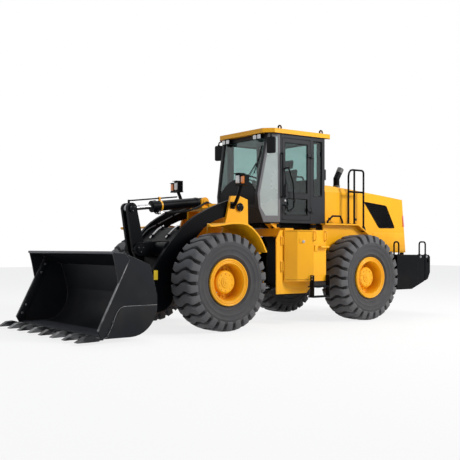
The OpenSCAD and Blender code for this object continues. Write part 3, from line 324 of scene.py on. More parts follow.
def domed_plate(name, centre, across, up, half, corner, depth, rise):
    """A plate with rounded corners and a crowned face on a point and two directions, in millimetres."""
    a = Vector(across).normalized()
    b = Vector(up).normalized()
    out = a.cross(b)
    outline = []
    for q, (sx, sy) in enumerate(((1, 1), (-1, 1), (-1, -1), (1, -1))):
        for k in range(5):
            t = math.pi / 2 * (q + k / 4)
            x = sx * (half[0] - corner) + corner * math.cos(t)
            y = sy * (half[1] - corner) + corner * math.sin(t)
            outline.append((x, y))
    rings = ((1, 0), (1, depth), (0.94, depth + 0.5 * rise), (0.78, depth + 0.8 * rise), (0.45, depth + rise))
    foot = at(*centre)
    verts = [foot + (a * x * s + b * y * s + out * h) / 1000 for s, h in rings for x, y in outline]
    size = (len(rings), len(outline))
    return add_mesh(name, verts, end_caps(*size) + strips(*size), smooth=50)


def bent_plate(name, rows, push):
    """A plate from rows of points in metres, thickened by a vector."""
    wide = len(rows[0])
    front = [p for row in rows for p in row]
    n = len(front)
    faces = []
    for quad in strips(len(rows), wide, around=False):
        faces += [quad, tuple(n + k for k in quad)]
    rim = list(range(wide))
    rim += [i * wide + wide - 1 for i in range(1, len(rows))]
    rim += [(len(rows) - 1) * wide + j for j in range(wide - 2, -1, -1)]
    rim += [i * wide for i in range(len(rows) - 2, 0, -1)]
    faces += [(a, b, n + b, n + a) for a, b in zip(rim, rim[1:] + rim[:1])]
    return add_mesh(name, front + [p + push for p in front], faces, smooth=35)


def bent_plate_loop(name, loops, push):
    """Closed loops of points joined one to the next, thickened by a vector."""
    n = len(loops[0])
    front = [p for loop in loops for p in loop]
    m = len(front)
    faces = []
    for quad in strips(len(loops), n):
        faces += [quad, tuple(m + v for v in quad)]
    last = (len(loops) - 1) * n
    for k in range(n):
        j = (k + 1) % n
        faces += [(k, j, m + j, m + k), (last + k, last + j, m + last + j, m + last + k)]
    return add_mesh(name, front + [p + push for p in front], faces, smooth=35)


def mirrored(points, side):
    """Drawing points on the left, or their mirror images on the right for side -1."""
    return [at(x, side * y, z) for x, y, z in points]


def ride_with(obj, body):
    """Lets a piece move with a body."""
    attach(obj, body)
    return obj


def finish_piece(obj, body, material):
    """Gives a piece its material, and lets it move with a body."""
    obj.data.materials.clear()
    obj.data.materials.append(material)
    return ride_with(obj, body)


# Geometry Nodes trees; a washer's sizes are shares of its bolt head's

WASHER_WIDTH = 1.45
WASHER_HEIGHT = 0.35


def new_tree(name, inputs):
    """A Geometry Nodes tree with a geometry input and output and the named inputs."""
    tree = bpy.data.node_groups.new(name, "GeometryNodeTree")
    tree.interface.new_socket("Geometry", in_out="INPUT", socket_type="NodeSocketGeometry")
    for label, kind in inputs:
        tree.interface.new_socket(label, in_out="INPUT", socket_type=kind)
    tree.interface.new_socket("Geometry", in_out="OUTPUT", socket_type="NodeSocketGeometry")
    return tree


def feed(tree, value, target):
    """Links a socket to an input, or sets the input to a value."""
    if isinstance(value, bpy.types.NodeSocket):
        tree.links.new(value, target)
    else:
        target.default_value = value


def put(tree, kind, **values):
    """Adds a node; each value goes to the input of that name, or else to the node's own setting."""
    node = tree.nodes.new(kind)
    for key, value in values.items():
        name = key.replace("_", " ")
        target = node.inputs.get(name) or node.inputs.get(name.title())
        if target is None:
            setattr(node, key, value)
        else:
            feed(tree, value, target)
    return node


def reckon(tree, operation, *values):
    """The result of one math node on sockets and numbers."""
    node = put(tree, "ShaderNodeMath", operation=operation)
    for value, target in zip(values, node.inputs):
        feed(tree, value, target)
    return node.outputs[0]


def send_out(tree, *sockets):
    """Links sockets to the outputs of a group."""
    out = tree.nodes.new("NodeGroupOutput")
    for socket, target in zip(sockets, out.inputs):
        tree.links.new(socket, target)
    return tree


def send_copies(tree, copies, finish):
    """Makes copies real, paints them and sends them out."""
    real = put(tree, "GeometryNodeRealizeInstances", Geometry=copies)
    painted = put(tree, "GeometryNodeSetMaterial", Geometry=real.outputs[0], Material=finish)
    return send_out(tree, painted.outputs[0])


def along_aim(tree):
    """The turn that brings the Z axis onto a point's aim attribute."""
    aim = put(tree, "GeometryNodeInputNamedAttribute", data_type="FLOAT_VECTOR", Name="aim")
    return put(tree, "FunctionNodeAlignRotationToVector", axis="Z", Vector=aim.outputs[0]).outputs[0]


def ring_tree():
    """Copies of the input geometry round the Y axis, moved to a centre."""
    inputs = [("Count", "NodeSocketInt"), ("First Angle", "NodeSocketFloat"), ("Centre", "NodeSocketVector")]
    tree = new_tree("ring_of_copies", inputs + [("Finish", "NodeSocketMaterial")])
    given = tree.nodes.new("NodeGroupInput").outputs
    points = put(tree, "GeometryNodePoints", Count=given["Count"]).outputs[0]
    index = tree.nodes.new("GeometryNodeInputIndex").outputs[0]
    step = reckon(tree, "DIVIDE", 2 * math.pi, given["Count"])
    angle = reckon(tree, "MULTIPLY_ADD", index, step, given["First Angle"])
    turn = put(tree, "ShaderNodeCombineXYZ", Y=angle).outputs[0]
    shape = given["Geometry"]
    copies = put(tree, "GeometryNodeInstanceOnPoints", Points=points, Instance=shape, Rotation=turn)
    moved = put(tree, "GeometryNodeTransform", Geometry=copies.outputs[0], Translation=given["Centre"])
    return send_copies(tree, moved.outputs[0], given["Finish"])


def studs_tree():
    """Hexagon bolt heads with washers on the input's points, each along its aim attribute."""
    inputs = [("Head Radius", "NodeSocketFloat"), ("Head Height", "NodeSocketFloat")]
    tree = new_tree("bolt_heads", inputs + [("Finish", "NodeSocketMaterial")])
    given = tree.nodes.new("NodeGroupInput").outputs
    radius, height = given["Head Radius"], given["Head Height"]
    head = put(tree, "GeometryNodeMeshCylinder", Vertices=6, Radius=radius, Depth=height)
    wide = reckon(tree, "MULTIPLY", radius, WASHER_WIDTH)
    thin = reckon(tree, "MULTIPLY", height, WASHER_HEIGHT)
    washer = put(tree, "GeometryNodeMeshCylinder", Vertices=16, Radius=wide, Depth=thin)
    up = put(tree, "ShaderNodeCombineXYZ", Z=reckon(tree, "MULTIPLY", height, 0.5))
    raised = put(tree, "GeometryNodeTransform", Geometry=head.outputs["Mesh"], Translation=up.outputs[0])
    both = tree.nodes.new("GeometryNodeJoinGeometry")
    tree.links.new(washer.outputs["Mesh"], both.inputs[0])
    tree.links.new(raised.outputs[0], both.inputs[0])
    copies = put(
        tree, "GeometryNodeInstanceOnPoints", Points=given["Geometry"], Instance=both.outputs[0],
        Rotation=along_aim(tree),
    )
    return send_copies(tree, copies.outputs[0], given["Finish"])


def wires_tree():
    """Thin bars on the input's points, each along its aim attribute and as long as its reach attribute."""
    tree = new_tree("mesh_wires", [("Wire Radius", "NodeSocketFloat"), ("Finish", "NodeSocketMaterial")])
    given = tree.nodes.new("NodeGroupInput").outputs
    wire = put(tree, "GeometryNodeMeshCylinder", Vertices=4, Radius=given["Wire Radius"], Depth=1.0)
    reach = put(tree, "GeometryNodeInputNamedAttribute", data_type="FLOAT", Name="reach")
    size = put(tree, "ShaderNodeCombineXYZ", X=1.0, Y=1.0, Z=reach.outputs[0])
    copies = put(
        tree, "GeometryNodeInstanceOnPoints", Points=given["Geometry"], Instance=wire.outputs["Mesh"],
        Rotation=along_aim(tree), Scale=size.outputs[0],
    )
    return send_copies(tree, copies.outputs[0], given["Finish"])


def run_tree(obj, tree, **values):
    """Runs a tree on an object with its inputs set by name, and keeps the result as a plain mesh."""
    modifier = obj.modifiers.new(tree.name, "NODES")
    modifier.node_group = tree
    names = {item.name: item.identifier for item in tree.interface.items_tree if item.in_out == "INPUT"}
    for key, value in values.items():
        modifier[names[key.replace("_", " ")]] = value
    return apply_modifiers(obj)


RING = ring_tree()
STUDS = studs_tree()
WIRES = wires_tree()


def on_points(name, places, tree, **values):
    """A tree's copies at (point, direction) or (point, direction, length) places, as one object."""
    mesh = bpy.data.meshes.new(name)
    mesh.from_pydata([tuple(place[0]) for place in places], [], [])
    mesh.attributes.new("aim", "FLOAT_VECTOR", "POINT")
    for mark, place in zip(mesh.attributes["aim"].data, places):
        mark.vector = place[1]
    if len(places[0]) > 2:
        mesh.attributes.new("reach", "FLOAT", "POINT")
        for mark, place in zip(mesh.attributes["reach"].data, places):
            mark.value = place[2]
    obj = bpy.data.objects.new(name, mesh)
    bpy.context.scene.collection.objects.link(obj)
    return run_tree(obj, tree, **values)


def bolts(name, places, radius, height, body, material):
    """Bolt heads at (point, direction) pairs."""
    obj = on_points(name, places, STUDS, Head_Radius=mm(radius), Head_Height=mm(height), Finish=material)
    shade(obj, 30)
    ride_with(obj, body)


def wire_mesh(name, places, radius, body, material):
    """Wires as thin bars at (point, direction, length)."""
    obj = on_points(name, places, WIRES, Wire_Radius=mm(radius), Finish=material)
    ride_with(obj, body)


# Shader effects


def new_effect(name, inputs, outputs):
    """A shader node group with named float inputs and named outputs."""
    tree = bpy.data.node_groups.new(name, "ShaderNodeTree")
    for label, value in inputs:
        socket = tree.interface.new_socket(label, in_out="INPUT", socket_type="NodeSocketFloat")
        socket.default_value = value
    for label, kind in outputs:
        tree.interface.new_socket(label, in_out="OUTPUT", socket_type=kind)
    return tree


def ranged(tree, value, low, high, to_low=0.0, to_high=1.0):
    """A smooth step of a value from one range to another."""
    node = put(tree, "ShaderNodeMapRange", interpolation_type="SMOOTHSTEP")
    for setting, target in zip((value, low, high, to_low, to_high), node.inputs):
        feed(tree, setting, target)
    return node.outputs[0]


def times(tree, a, b):
    """The product of two values."""
    return reckon(tree, "MULTIPLY", a, b)


def own_place(tree):
    """The place on the object, which every texture reads."""
    return tree.nodes.new("ShaderNodeTexCoord").outputs["Object"]


def road_dust():
    """Fine dust that thins out upwards and gathers in cloudy patches."""
    tree = new_effect(
        "road_dust",
        [("Amount", 0.3), ("Clean Height", 1.6), ("Patch Scale", 2.2)],
        [("Mask", "NodeSocketFloat")],
    )
    given = tree.nodes.new("NodeGroupInput").outputs
    place = own_place(tree)
    height = put(tree, "ShaderNodeSeparateXYZ", Vector=place).outputs["Z"]
    low = ranged(tree, height, given["Clean Height"], 0.0)
    size = given["Patch Scale"]
    patches = put(tree, "ShaderNodeTexNoise", Vector=place, Scale=size, Detail=6.0, Roughness=0.62)
    cloud = ranged(tree, patches.outputs["Fac"], 0.38, 0.72)
    mask = times(tree, times(tree, low, cloud), given["Amount"])
    return send_out(tree, mask)


def worn_edges():
    """Rubbed edges as a mask broken up by noise, and the normal of an edge with a small radius."""
    tree = new_effect(
        "worn_edges",
        [("Width", 0.008), ("Break Scale", 9.0)],
        [("Mask", "NodeSocketFloat"), ("Round Normal", "NodeSocketVector")],
    )
    given = tree.nodes.new("NodeGroupInput").outputs
    place = own_place(tree)
    bevel = put(tree, "ShaderNodeBevel", samples=4, Radius=given["Width"])
    flat = tree.nodes.new("ShaderNodeNewGeometry").outputs["True Normal"]
    dot = put(tree, "ShaderNodeVectorMath", operation="DOT_PRODUCT")
    tree.links.new(bevel.outputs[0], dot.inputs[0])
    tree.links.new(flat, dot.inputs[1])
    edge = ranged(tree, dot.outputs["Value"], 0.985, 0.86)
    noise = put(tree, "ShaderNodeTexNoise", Vector=place, Scale=given["Break Scale"], Detail=5.0)
    mask = times(tree, edge, ranged(tree, noise.outputs["Fac"], 0.36, 0.58))
    return send_out(tree, mask, bevel.outputs[0])


def fine_bumps():
    """Grain as a height and as a mask: orange peel on paint, pores on rubber and plastic."""
    tree = new_effect(
        "fine_bumps",
        [("Scale", 300.0), ("Stretch", 1.0)],
        [("Height", "NodeSocketFloat"), ("Tone", "NodeSocketFloat")],
    )
    given = tree.nodes.new("NodeGroupInput").outputs
    place = own_place(tree)
    size = put(tree, "ShaderNodeCombineXYZ", X=1.0, Y=given["Stretch"], Z=1.0)
    scaled = put(tree, "ShaderNodeVectorMath", operation="MULTIPLY")
    tree.links.new(place, scaled.inputs[0])
    tree.links.new(size.outputs[0], scaled.inputs[1])
    grain = put(tree, "ShaderNodeTexNoise", Vector=scaled.outputs[0], Scale=given["Scale"], Detail=2.0)
    tone = put(tree, "ShaderNodeTexNoise", Vector=place, Scale=1.7, Detail=4.0)
    return send_out(tree, grain.outputs["Fac"], tone.outputs["Fac"])


DUST = road_dust()
EDGES = worn_edges()
BUMPS = fine_bumps()


def effect(tree, group, **values):
    """The outputs of an effect with its inputs set."""
    node = tree.nodes.new("ShaderNodeGroup")
    node.node_tree = group
    for key, value in values.items():
        node.inputs[key.replace("_", " ")].default_value = value
    return node.outputs


def mixed(tree, mask, a, b):
    """Colour a where the mask is 0 and b where it is 1."""
    node = put(tree, "ShaderNodeMix", data_type="RGBA")
    tree.links.new(mask, node.inputs[0])
    for i, value in ((6, a), (7, b)):
        feed(tree, (*value, 1) if isinstance(value, tuple) else value, node.inputs[i])
    return node.outputs[2]


def new_material(name):
    """A material with only its Principled shader, and that shader."""
    material = bpy.data.materials.new(name)
    material.use_nodes = True
    return material, material.node_tree, material.node_tree.nodes["Principled BSDF"]


def bump(tree, shader, height, strength, distance, normal=None):
    """Lets a height, and another normal where one is given, shape the shader's normal."""
    node = put(tree, "ShaderNodeBump", Height=height, Strength=strength, Distance=distance)
    if normal:
        tree.links.new(normal, node.inputs["Normal"])
    tree.links.new(node.outputs[0], shader.inputs["Normal"])


def give(shader, **values):
    """Links sockets to the shader's inputs, or sets them to constants."""
    for key, value in values.items():
        feed(shader.id_data, value, shader.inputs[key.replace("_", " ")])


DUST_COLOUR = (0.34, 0.27, 0.18)
RUBBER_DUST = (0.12, 0.112, 0.10)
PAINT_CLEAN_HEIGHT = 1.5


def two_tones(tree, mask, colour, share):
    """A colour that falls to a darker share of itself where the mask is 0."""
    return mixed(tree, mask, tuple(share * c for c in colour), colour)


def coated(name, colour, deep, rough, dust, wear, primer, peel=0.06, **settings):
    """Painted steel: two close tones, orange peel, rubbed edges and dust low down."""
    material, tree, shader = new_material(name)
    grain = effect(tree, BUMPS, Scale=420.0)
    base = mixed(tree, ranged(tree, grain["Tone"], 0.35, 0.68), deep, colour)
    edges = effect(tree, EDGES, Width=0.007)
    rubbed = mixed(tree, times(tree, edges["Mask"], wear), base, primer)
    dirt = effect(tree, DUST, Amount=dust, Clean_Height=PAINT_CLEAN_HEIGHT)["Mask"]
    dull = ranged(tree, dirt, 0.0, 0.4, rough, 0.75)
    give(shader, Base_Color=mixed(tree, dirt, rubbed, DUST_COLOUR), Roughness=dull, **settings)
    bump(tree, shader, grain["Height"], peel, 0.002, edges["Round Normal"])
    return material


def worn_steel():
    """Bare plate polished and scratched by gravel."""
    material, tree, shader = new_material("worn_steel")
    place = own_place(tree)
    stretch = put(tree, "ShaderNodeMapping", Vector=place, Scale=(2.0, 40.0, 40.0)).outputs[0]
    scratch = put(tree, "ShaderNodeTexNoise", Vector=stretch, Scale=6.0, Detail=8.0, Roughness=0.7)
    scratch = scratch.outputs["Fac"]
    patches = put(tree, "ShaderNodeTexNoise", Vector=place, Scale=3.0, Detail=5.0).outputs["Fac"]
    steel = mixed(tree, ranged(tree, scratch, 0.4, 0.66), (0.10, 0.103, 0.108), (0.30, 0.30, 0.305))
    stained = mixed(tree, ranged(tree, patches, 0.45, 0.62), steel, (0.02, 0.021, 0.024))
    give(shader, Base_Color=stained, Roughness=ranged(tree, scratch, 0.35, 0.7, 0.36, 0.6), Metallic=0.75)
    bump(tree, shader, scratch, 0.15, 0.002)
    return material


def bright_steel(name, colour, rough):
    """Turned or plated metal with a fine grain along the machine."""
    material, tree, shader = new_material(name)
    grain = effect(tree, BUMPS, Scale=160.0, Stretch=6.0)
    tones = two_tones(tree, ranged(tree, grain["Height"], 0.3, 0.7), colour, 0.82)
    dull = ranged(tree, grain["Tone"], 0.3, 0.7, rough, rough + 0.1)
    give(shader, Base_Color=tones, Roughness=dull, Metallic=1.0)
    return material


def tyre_rubber(name, deep, light, scuff):
    """Grey rubber in two close tones, lighter where its edges are scuffed, and dusty low down."""
    material, tree, shader = new_material(name)
    grain = effect(tree, BUMPS, Scale=260.0)
    tone = ranged(tree, grain["Tone"], 0.3, 0.7)
    base = mixed(tree, tone, deep, light)
    edges = effect(tree, EDGES, Width=0.012, Break_Scale=14.0)["Mask"]
    scuffed = mixed(tree, times(tree, edges, 0.6), base, scuff)
    dirt = effect(tree, DUST, Amount=0.25, Clean_Height=2.0, Patch_Scale=5.0)["Mask"]
    dull = ranged(tree, tone, 0.0, 1.0, 0.62, 0.78)
    give(shader, Base_Color=mixed(tree, dirt, scuffed, RUBBER_DUST), Roughness=dull, Specular_IOR_Level=0.25)
    bump(tree, shader, grain["Height"], 0.25, 0.002)
    return material


def moulded_plastic(name, colour, rough=0.5):
    """Grained plastic in two close tones."""
    material, tree, shader = new_material(name)
    grain = effect(tree, BUMPS, Scale=520.0)
    tones = two_tones(tree, ranged(tree, grain["Tone"], 0.3, 0.7), colour, 0.8)
    dull = ranged(tree, grain["Height"], 0.3, 0.7, rough, rough + 0.12)
    give(shader, Base_Color=tones, Roughness=dull, Specular_IOR_Level=0.14)
    bump(tree, shader, grain["Height"], 0.2, 0.001)
    return material


def tinted_glass():
    """Safety glass with a faint green tint and a film of dust towards the sill."""
    material, tree, shader = new_material("tinted_glass")
    dirt = effect(tree, DUST, Amount=0.25, Clean_Height=3.3, Patch_Scale=3.0)["Mask"]
    dull = ranged(tree, dirt, 0.0, 0.4, 0.015, 0.12)
    give(shader, Base_Color=(0.45, 0.60, 0.58, 1), Transmission_Weight=1.0, IOR=1.45, Roughness=dull)
    return material


def painted_reflection_glass():
    """Pale sheet over a corner pane: a painted reflection of the bright surroundings."""
    material, tree, shader = new_material("painted_reflection_glass")
    tone = ranged(tree, effect(tree, BUMPS, Scale=90.0)["Tone"], 0.3, 0.7)
    # The pale colour of the sheet is a painted reflection
    film = mixed(tree, tone, (0.50, 0.58, 0.58), (0.58, 0.66, 0.66))
    give(shader, Base_Color=film, Roughness=ranged(tree, tone, 0.0, 1.0, 0.2, 0.3), Transmission_Weight=0.35)
    return material


def lamp_glass(name, colour, glow):
    """A ribbed lamp lens; its glow is painted light where the lens belongs to no lamp, as on the boom's
    reflectors.
    """
    material, tree, shader = new_material(name)
    wave = put(tree, "ShaderNodeTexWave", Vector=own_place(tree), Scale=60.0, bands_direction="DIAGONAL")
    ribs = wave.outputs["Fac"]
    tones = two_tones(tree, ranged(tree, ribs, 0.2, 0.8), colour, 0.7)
    give(shader, Base_Color=tones, Roughness=ranged(tree, ribs, 0.0, 1.0, 0.08, 0.2), Coat_Weight=1.0)
    give(shader, Emission_Color=(*colour, 1), Emission_Strength=glow)
    bump(tree, shader, ribs, 0.4, 0.003)
    return material


def seat_cloth():
    """Woven seat cover with a fine diagonal rib."""
    material, tree, shader = new_material("seat_cloth")
    place = own_place(tree)
    threads = []
    for way in ("X", "Z"):
        wave = put(tree, "ShaderNodeTexWave", Vector=place, Scale=190.0, bands_direction=way, Distortion=0.6)
        threads.append(wave.outputs["Fac"])
    weave = times(tree, *threads)
    tones = mixed(tree, weave, (0.012, 0.012, 0.014), (0.05, 0.05, 0.056))
    give(shader, Base_Color=tones, Roughness=ranged(tree, weave, 0.0, 1.0, 0.8, 0.95), Sheen_Weight=0.3)
    bump(tree, shader, weave, 0.3, 0.002)
    return material


YELLOW = coated(
    "yellow_paint", (0.90, 0.425, 0.006), (0.865, 0.395, 0.005), 0.36, 0.14, 0.3, (0.95, 0.56, 0.12),
    Specular_IOR_Level=0.28, Coat_Weight=0.12, Coat_Roughness=0.12,
)
BLACK = coated(
    "black_paint", (0.0028, 0.0034, 0.0050), (0.0020, 0.0025, 0.0037), 0.42, 0.02, 0.6, (0.08, 0.085, 0.095),
    Specular_IOR_Level=0.07,
)
BUCKET_BLACK = coated(
    "bucket_paint", (0.0098, 0.0112, 0.0145), (0.0066, 0.0078, 0.0102), 0.5, 0.02, 0.8, (0.20, 0.21, 0.225),
    Specular_IOR_Level=0.16,
)
CAB_GREY = coated(
    "cab_grey", (0.020, 0.0215, 0.026), (0.016, 0.0175, 0.0215), 0.45, 0.05, 0.35, (0.10, 0.105, 0.115),
    Specular_IOR_Level=0.2,
)
CAB_SILVER = coated(
    "cab_silver", (0.17, 0.17, 0.185), (0.15, 0.15, 0.165), 0.4, 0.1, 0.2, (0.3, 0.3, 0.31),
    Specular_IOR_Level=0.35,
)
IRON = coated(
    "grey_iron", (0.105, 0.108, 0.112), (0.07, 0.072, 0.076), 0.55, 0.35, 0.4, (0.3, 0.3, 0.3), peel=0.2
)
# Worn steel, also laid on the bucket's side edges as a painted highlight
WORN_STEEL_AND_HIGHLIGHT = worn_steel()
CHROME = bright_steel("chrome_rod", (0.30, 0.305, 0.315), 0.27)
STEEL = bright_steel("bare_steel", (0.46, 0.46, 0.47), 0.32)
RUBBER = tyre_rubber("tyre_rubber", (0.044, 0.044, 0.048), (0.062, 0.062, 0.067), (0.13, 0.13, 0.135))
LUG_RUBBER = tyre_rubber("tread_rubber", (0.078, 0.079, 0.085), (0.115, 0.116, 0.124), (0.20, 0.20, 0.205))
# Near-black rubber on the groove floors: painted shade in the deep grooves
GROOVE_SHADE_RUBBER = tyre_rubber("groove_shade_rubber", (0.006, 0.006, 0.007), (0.012, 0.012, 0.013), (0.02, 0.02, 0.02))
SEAL_RUBBER = tyre_rubber("seal_rubber", (0.006, 0.006, 0.007), (0.010, 0.010, 0.011), (0.02, 0.02, 0.02))
PLASTIC = moulded_plastic("dark_plastic", (0.007, 0.0075, 0.009))
# The reflector's glow is painted light: a blank reflector is no lamp
GLOWING_REFLECTOR = lamp_glass("reflector", (0.90, 0.62, 0.03), 0.3)
FLOOR_STEEL = coated(
    "floor_steel", (0.060, 0.063, 0.078), (0.034, 0.036, 0.046), 0.45, 0.02, 0.8, (0.24, 0.25, 0.27), peel=0.2
)
# Painted reflection on the corner panes
PAINTED_REFLECTION_GLASS = painted_reflection_glass()
GRILLE_BLACK = moulded_plastic("grille_black", (0.005, 0.005, 0.006), 0.55)
MIRROR = bright_steel("mirror_glass", (0.72, 0.74, 0.76), 0.03)
GLASS = tinted_glass()
CLOTH = seat_cloth()
WHITE_LENS = lamp_glass("white_lens", (0.82, 0.84, 0.86), 0.05)
AMBER_LENS = lamp_glass("amber_lens", (0.85, 0.22, 0.01), 0.08)
RED_LENS = lamp_glass("red_lens", (0.6, 0.015, 0.012), 0.08)

# The finishes of each slot; the solids take the first one
FINISHES_OF_SLOT = {
    "yellow_paint": (YELLOW, GLOWING_REFLECTOR),
    "black_paint": (BLACK, BUCKET_BLACK, CAB_SILVER, GRILLE_BLACK),
    "grey_iron": (IRON,),
    "bare_steel": (STEEL,),
    "worn_steel": (WORN_STEEL_AND_HIGHLIGHT, FLOOR_STEEL),
    "chrome": (CHROME,),
    "rubber": (RUBBER, LUG_RUBBER, GROOVE_SHADE_RUBBER, SEAL_RUBBER),
    "glass": (GLASS, PAINTED_REFLECTION_GLASS, MIRROR, WHITE_LENS, AMBER_LENS, RED_LENS),
    "seat_cover": (CLOTH,),
    "dark_plastic": (PLASTIC,),
}
FINISH_OF_NODE = {
    "cab_frame": CAB_GREY,
    "cab_door": CAB_GREY,
    "bucket": BUCKET_BLACK,
    "bellcrank_pin": BLACK,
    "link_pin": BLACK,
    "bucket_pins": BLACK,
}


def paint_solids():
    """Every solid that stays in sight takes its slot's finish."""
    for part in frame["record"]["subparts"]:
        node = part["node"]
        finish = FINISH_OF_NODE.get(node, FINISHES_OF_SLOT[part["material_slot"]][0])
        NODES[node].data.materials.clear()
        NODES[node].data.materials.append(finish)


# Wheels


def lug_wave(y):
    """How far a lug's middle leaves the straight line across the tread, in millimetres round the tyre."""
    return -LUG_WAVE * math.sin(math.pi * y / LUG_WAVE_END) if abs(y) < LUG_WAVE_END else 0.0


def lug_stations():
    """Sections of a lug across the tyre: (y, top radius, base y, base radius)."""
    half = [
        (0, 800, 0, 735), (60, 799.5, 60, 735), (120, 798, 120, 734), (180, 795, 178, 732),
        (235, 788, 225, 724), (262, 765, 240, 712), (282, 720, 255, 687), (293, 675, 270, 648),
        (297, 640, 285, 630),
    ]
    return [(-y, top, -base_y, base) for y, top, base_y, base in reversed(half[1:])] + half


def tyre_lug(name, side):
    """One S-shaped bar of the tread from shoulder to shoulder, as a closed solid."""
    verts = []
    for y, top, base_y, base in lug_stations():
        half = LUG_HALF - 6 * max(0.0, (abs(y) - 180) / 117)
        for place, r, spread in ((y, top, half), (base_y, base, half + 10)):
            for s in (lug_wave(y) - spread, lug_wave(y) + spread):
                a = s / TYRE_R
                verts.append((mm(r) * math.sin(a), mm(side * place), mm(r) * math.cos(a)))
    count = len(lug_stations())
    faces = [(0, 1, 3, 2)]
    for i in range(count - 1):
        p = 4 * i
        q = p + 4
        faces += [(p, p + 1, q + 1, q), (p, q, q + 2, p + 2), (p + 1, p + 3, q + 3, q + 1)]
        faces.append((p + 2, q + 2, q + 3, p + 3))
    p = 4 * (count - 1)
    faces.append((p, p + 2, p + 3, p + 1))
    lug = add_mesh(name, verts, faces)
    return rounded(lug, 8, segments=2, angle=24)


def casing_profile():
    """Half of the casing's section from the bead to the tread's groove floor, as (radius, y)."""
    return [
        (330, 216), (372, 222), (392, 232), (408, 246), (430, 262), (436, 270), (446, 271), (452, 268),
        (520, 282), (526, 286), (534, 286), (540, 284), (590, 289), (596, 292), (604, 292), (610, 290),
        (650, 286), (682, 272), (712, 246), (732, 210), (740, 160), (742, 80),
    ]


def groove_profile():
    """Thin skin on the floor of the tread grooves, as (radius, y); its near-black rubber is painted shade."""
    half = [(664, 281), (683, 273), (713, 247), (733, 211), (741, 160), (743, 80)]
    outer = half + [(r, -y) for r, y in reversed(half)]
    return outer + [(r - 4, 0.99 * y) for r, y in reversed(outer)]


def tyre(wheel, centre, sy):
    """Casing, groove floor darkened as painted shade, and tread bars of one tyre."""
    body = "wheel_" + wheel
    half = casing_profile()
    section = [(r, -y) for r, y in half] + half[::-1]
    casing = turned_on("tyre_" + wheel, section, centre, 128)
    finish_piece(casing, body, RUBBER)
    # The groove floor's skin is painted shade
    skin = turned_on("groove_" + wheel, groove_profile(), centre, 96)
    finish_piece(skin, body, GROOVE_SHADE_RUBBER)
    bars = tyre_lug("tread_" + wheel, sy)
    run_tree(bars, RING, Count=LUG_COUNT, First_Angle=0.0, Centre=centre, Finish=LUG_RUBBER)
    ride_with(bars, body)
    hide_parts("tyre_" + wheel)


def turned_on(name, section, centre, segments):
    """A turned ring with a closed section of (radius, y) points, moved to a wheel's centre."""
    ring = turned(name, [(mm(r), mm(y)) for r, y in section], segments)
    shade(ring, 40)
    ring.data.transform(Matrix.Translation(centre))
    return ring


def on_wheel(centre, r, angle, y):
    """A point at a radius and angle from the top of a wheel, y out from its middle."""
    return centre + Vector((mm(r) * math.sin(angle), mm(y), mm(r) * math.cos(angle)))


def bolt_circle(centre, r, count, y, sy):
    """Places and directions of bolts evenly round a wheel."""
    return [(on_wheel(centre, r, turn, sy * y), (0, sy, 0)) for turn in even_turns(count)]


def rim_trim(wheel, centre, sx, sy):
    """Rolled flange and lock ring, wheel nuts, hub screws, hub cap and valve of one rim."""
    body = "wheel_" + wheel
    rings = []
    for r, y, wire in ((366, 259, 15), (335, 259, 9), (311, 257, 7)):
        section = [(mm(r + wire * math.cos(t)), mm(sy * (y + wire * math.sin(t)))) for t in even_turns(16)]
        rings.append(turned("ring", section))
    flange = join("flange_" + wheel, rings)
    flange.data.transform(Matrix.Translation(centre))
    shade(flange, 60)
    finish_piece(flange, body, YELLOW)
    bolts("hub_screws_" + wheel, bolt_circle(centre, 136, 10, HUB_FACE, sy), 9, 10, body, YELLOW)
    bolts("wheel_nuts_" + wheel, bolt_circle(centre, 246, 20, -4, sy), 14, 20, body, YELLOW)
    foot = (sx * AXLE_X, sy * (WHEEL_Y + HUB_FACE + 8), AXLE_Z)
    tip = (foot[0], foot[1] + sy * 100, foot[2])
    dome = [(0, 64), (5, 64), (9, 60), (10, 34), (16, 32), (18, 24), (18, 6)]
    finish_piece(lathe("hub_cap_" + wheel, foot, tip, dome), body, YELLOW)
    stem = [on_wheel(centre, r, 2.2, sy * y) for r, y in ((291, 150), (276, 154), (268, 172), (264, 212))]
    finish_piece(tube("valve_" + wheel, stem, 8, sides=10), body, STEEL)


def wheels():
    for sx, end in ((1, "front"), (-1, "rear")):
        for sy, hand in SIDES:
            wheel = end + "_" + hand
            centre = at(sx * AXLE_X, sy * WHEEL_Y, AXLE_Z)
            tyre(wheel, centre, sy)
            rim_trim(wheel, centre, sx, sy)


# Cab


def screen_point(y, z, out):
    """A point on the cab's front, out millimetres before its outer face."""
    if z > NOSE_Z:
        x = NOSE_X - (z - NOSE_Z) * (NOSE_X - SCREEN_TOP_X) / (CAB_TOP - NOSE_Z)
    else:
        x = NOSE_X - (NOSE_Z - z) * 25 / 255
    return at(x + out, y, z)


def screen_half(z):
    """Half width of the windscreen opening at height z."""
    if z < NOSE_Z:
        return 520 + (z - 2120) * 25 / 190
    return 545 + (z - NOSE_Z) * 55 / 1020


def corner_point(side, u, z, out):
    """A point on the slanted corner face, u along it from the door post and out before it."""
    length = math.hypot(NOSE_X, CAB_HALF - NOSE_HALF)
    along = (NOSE_X / length, (NOSE_HALF - CAB_HALF) / length)
    return at(u * along[0] - out * along[1], side * (CAB_HALF + u * along[1] + out * along[0]), z)


def screen_mask():
    """Black arched panel over the foot of the windscreen that carries the wiper."""
    rows = []
    for v in (0, 0.25, 0.44, 0.62, 0.82, 1):
        row = []
        for k in range(33):
            t = -1 + k / 16
            top = 2335 + 285 * (1 - abs(t) ** 2.4)
            z = 2126 + v * (top - 2126)
            row.append(screen_point(t * (screen_half(z) - 6), z, -17))
        rows.append(row)
    mask = bent_plate("screen_mask", rows, Vector((mm(5), 0, 0)))
    finish_piece(mask, "rear", PLASTIC)


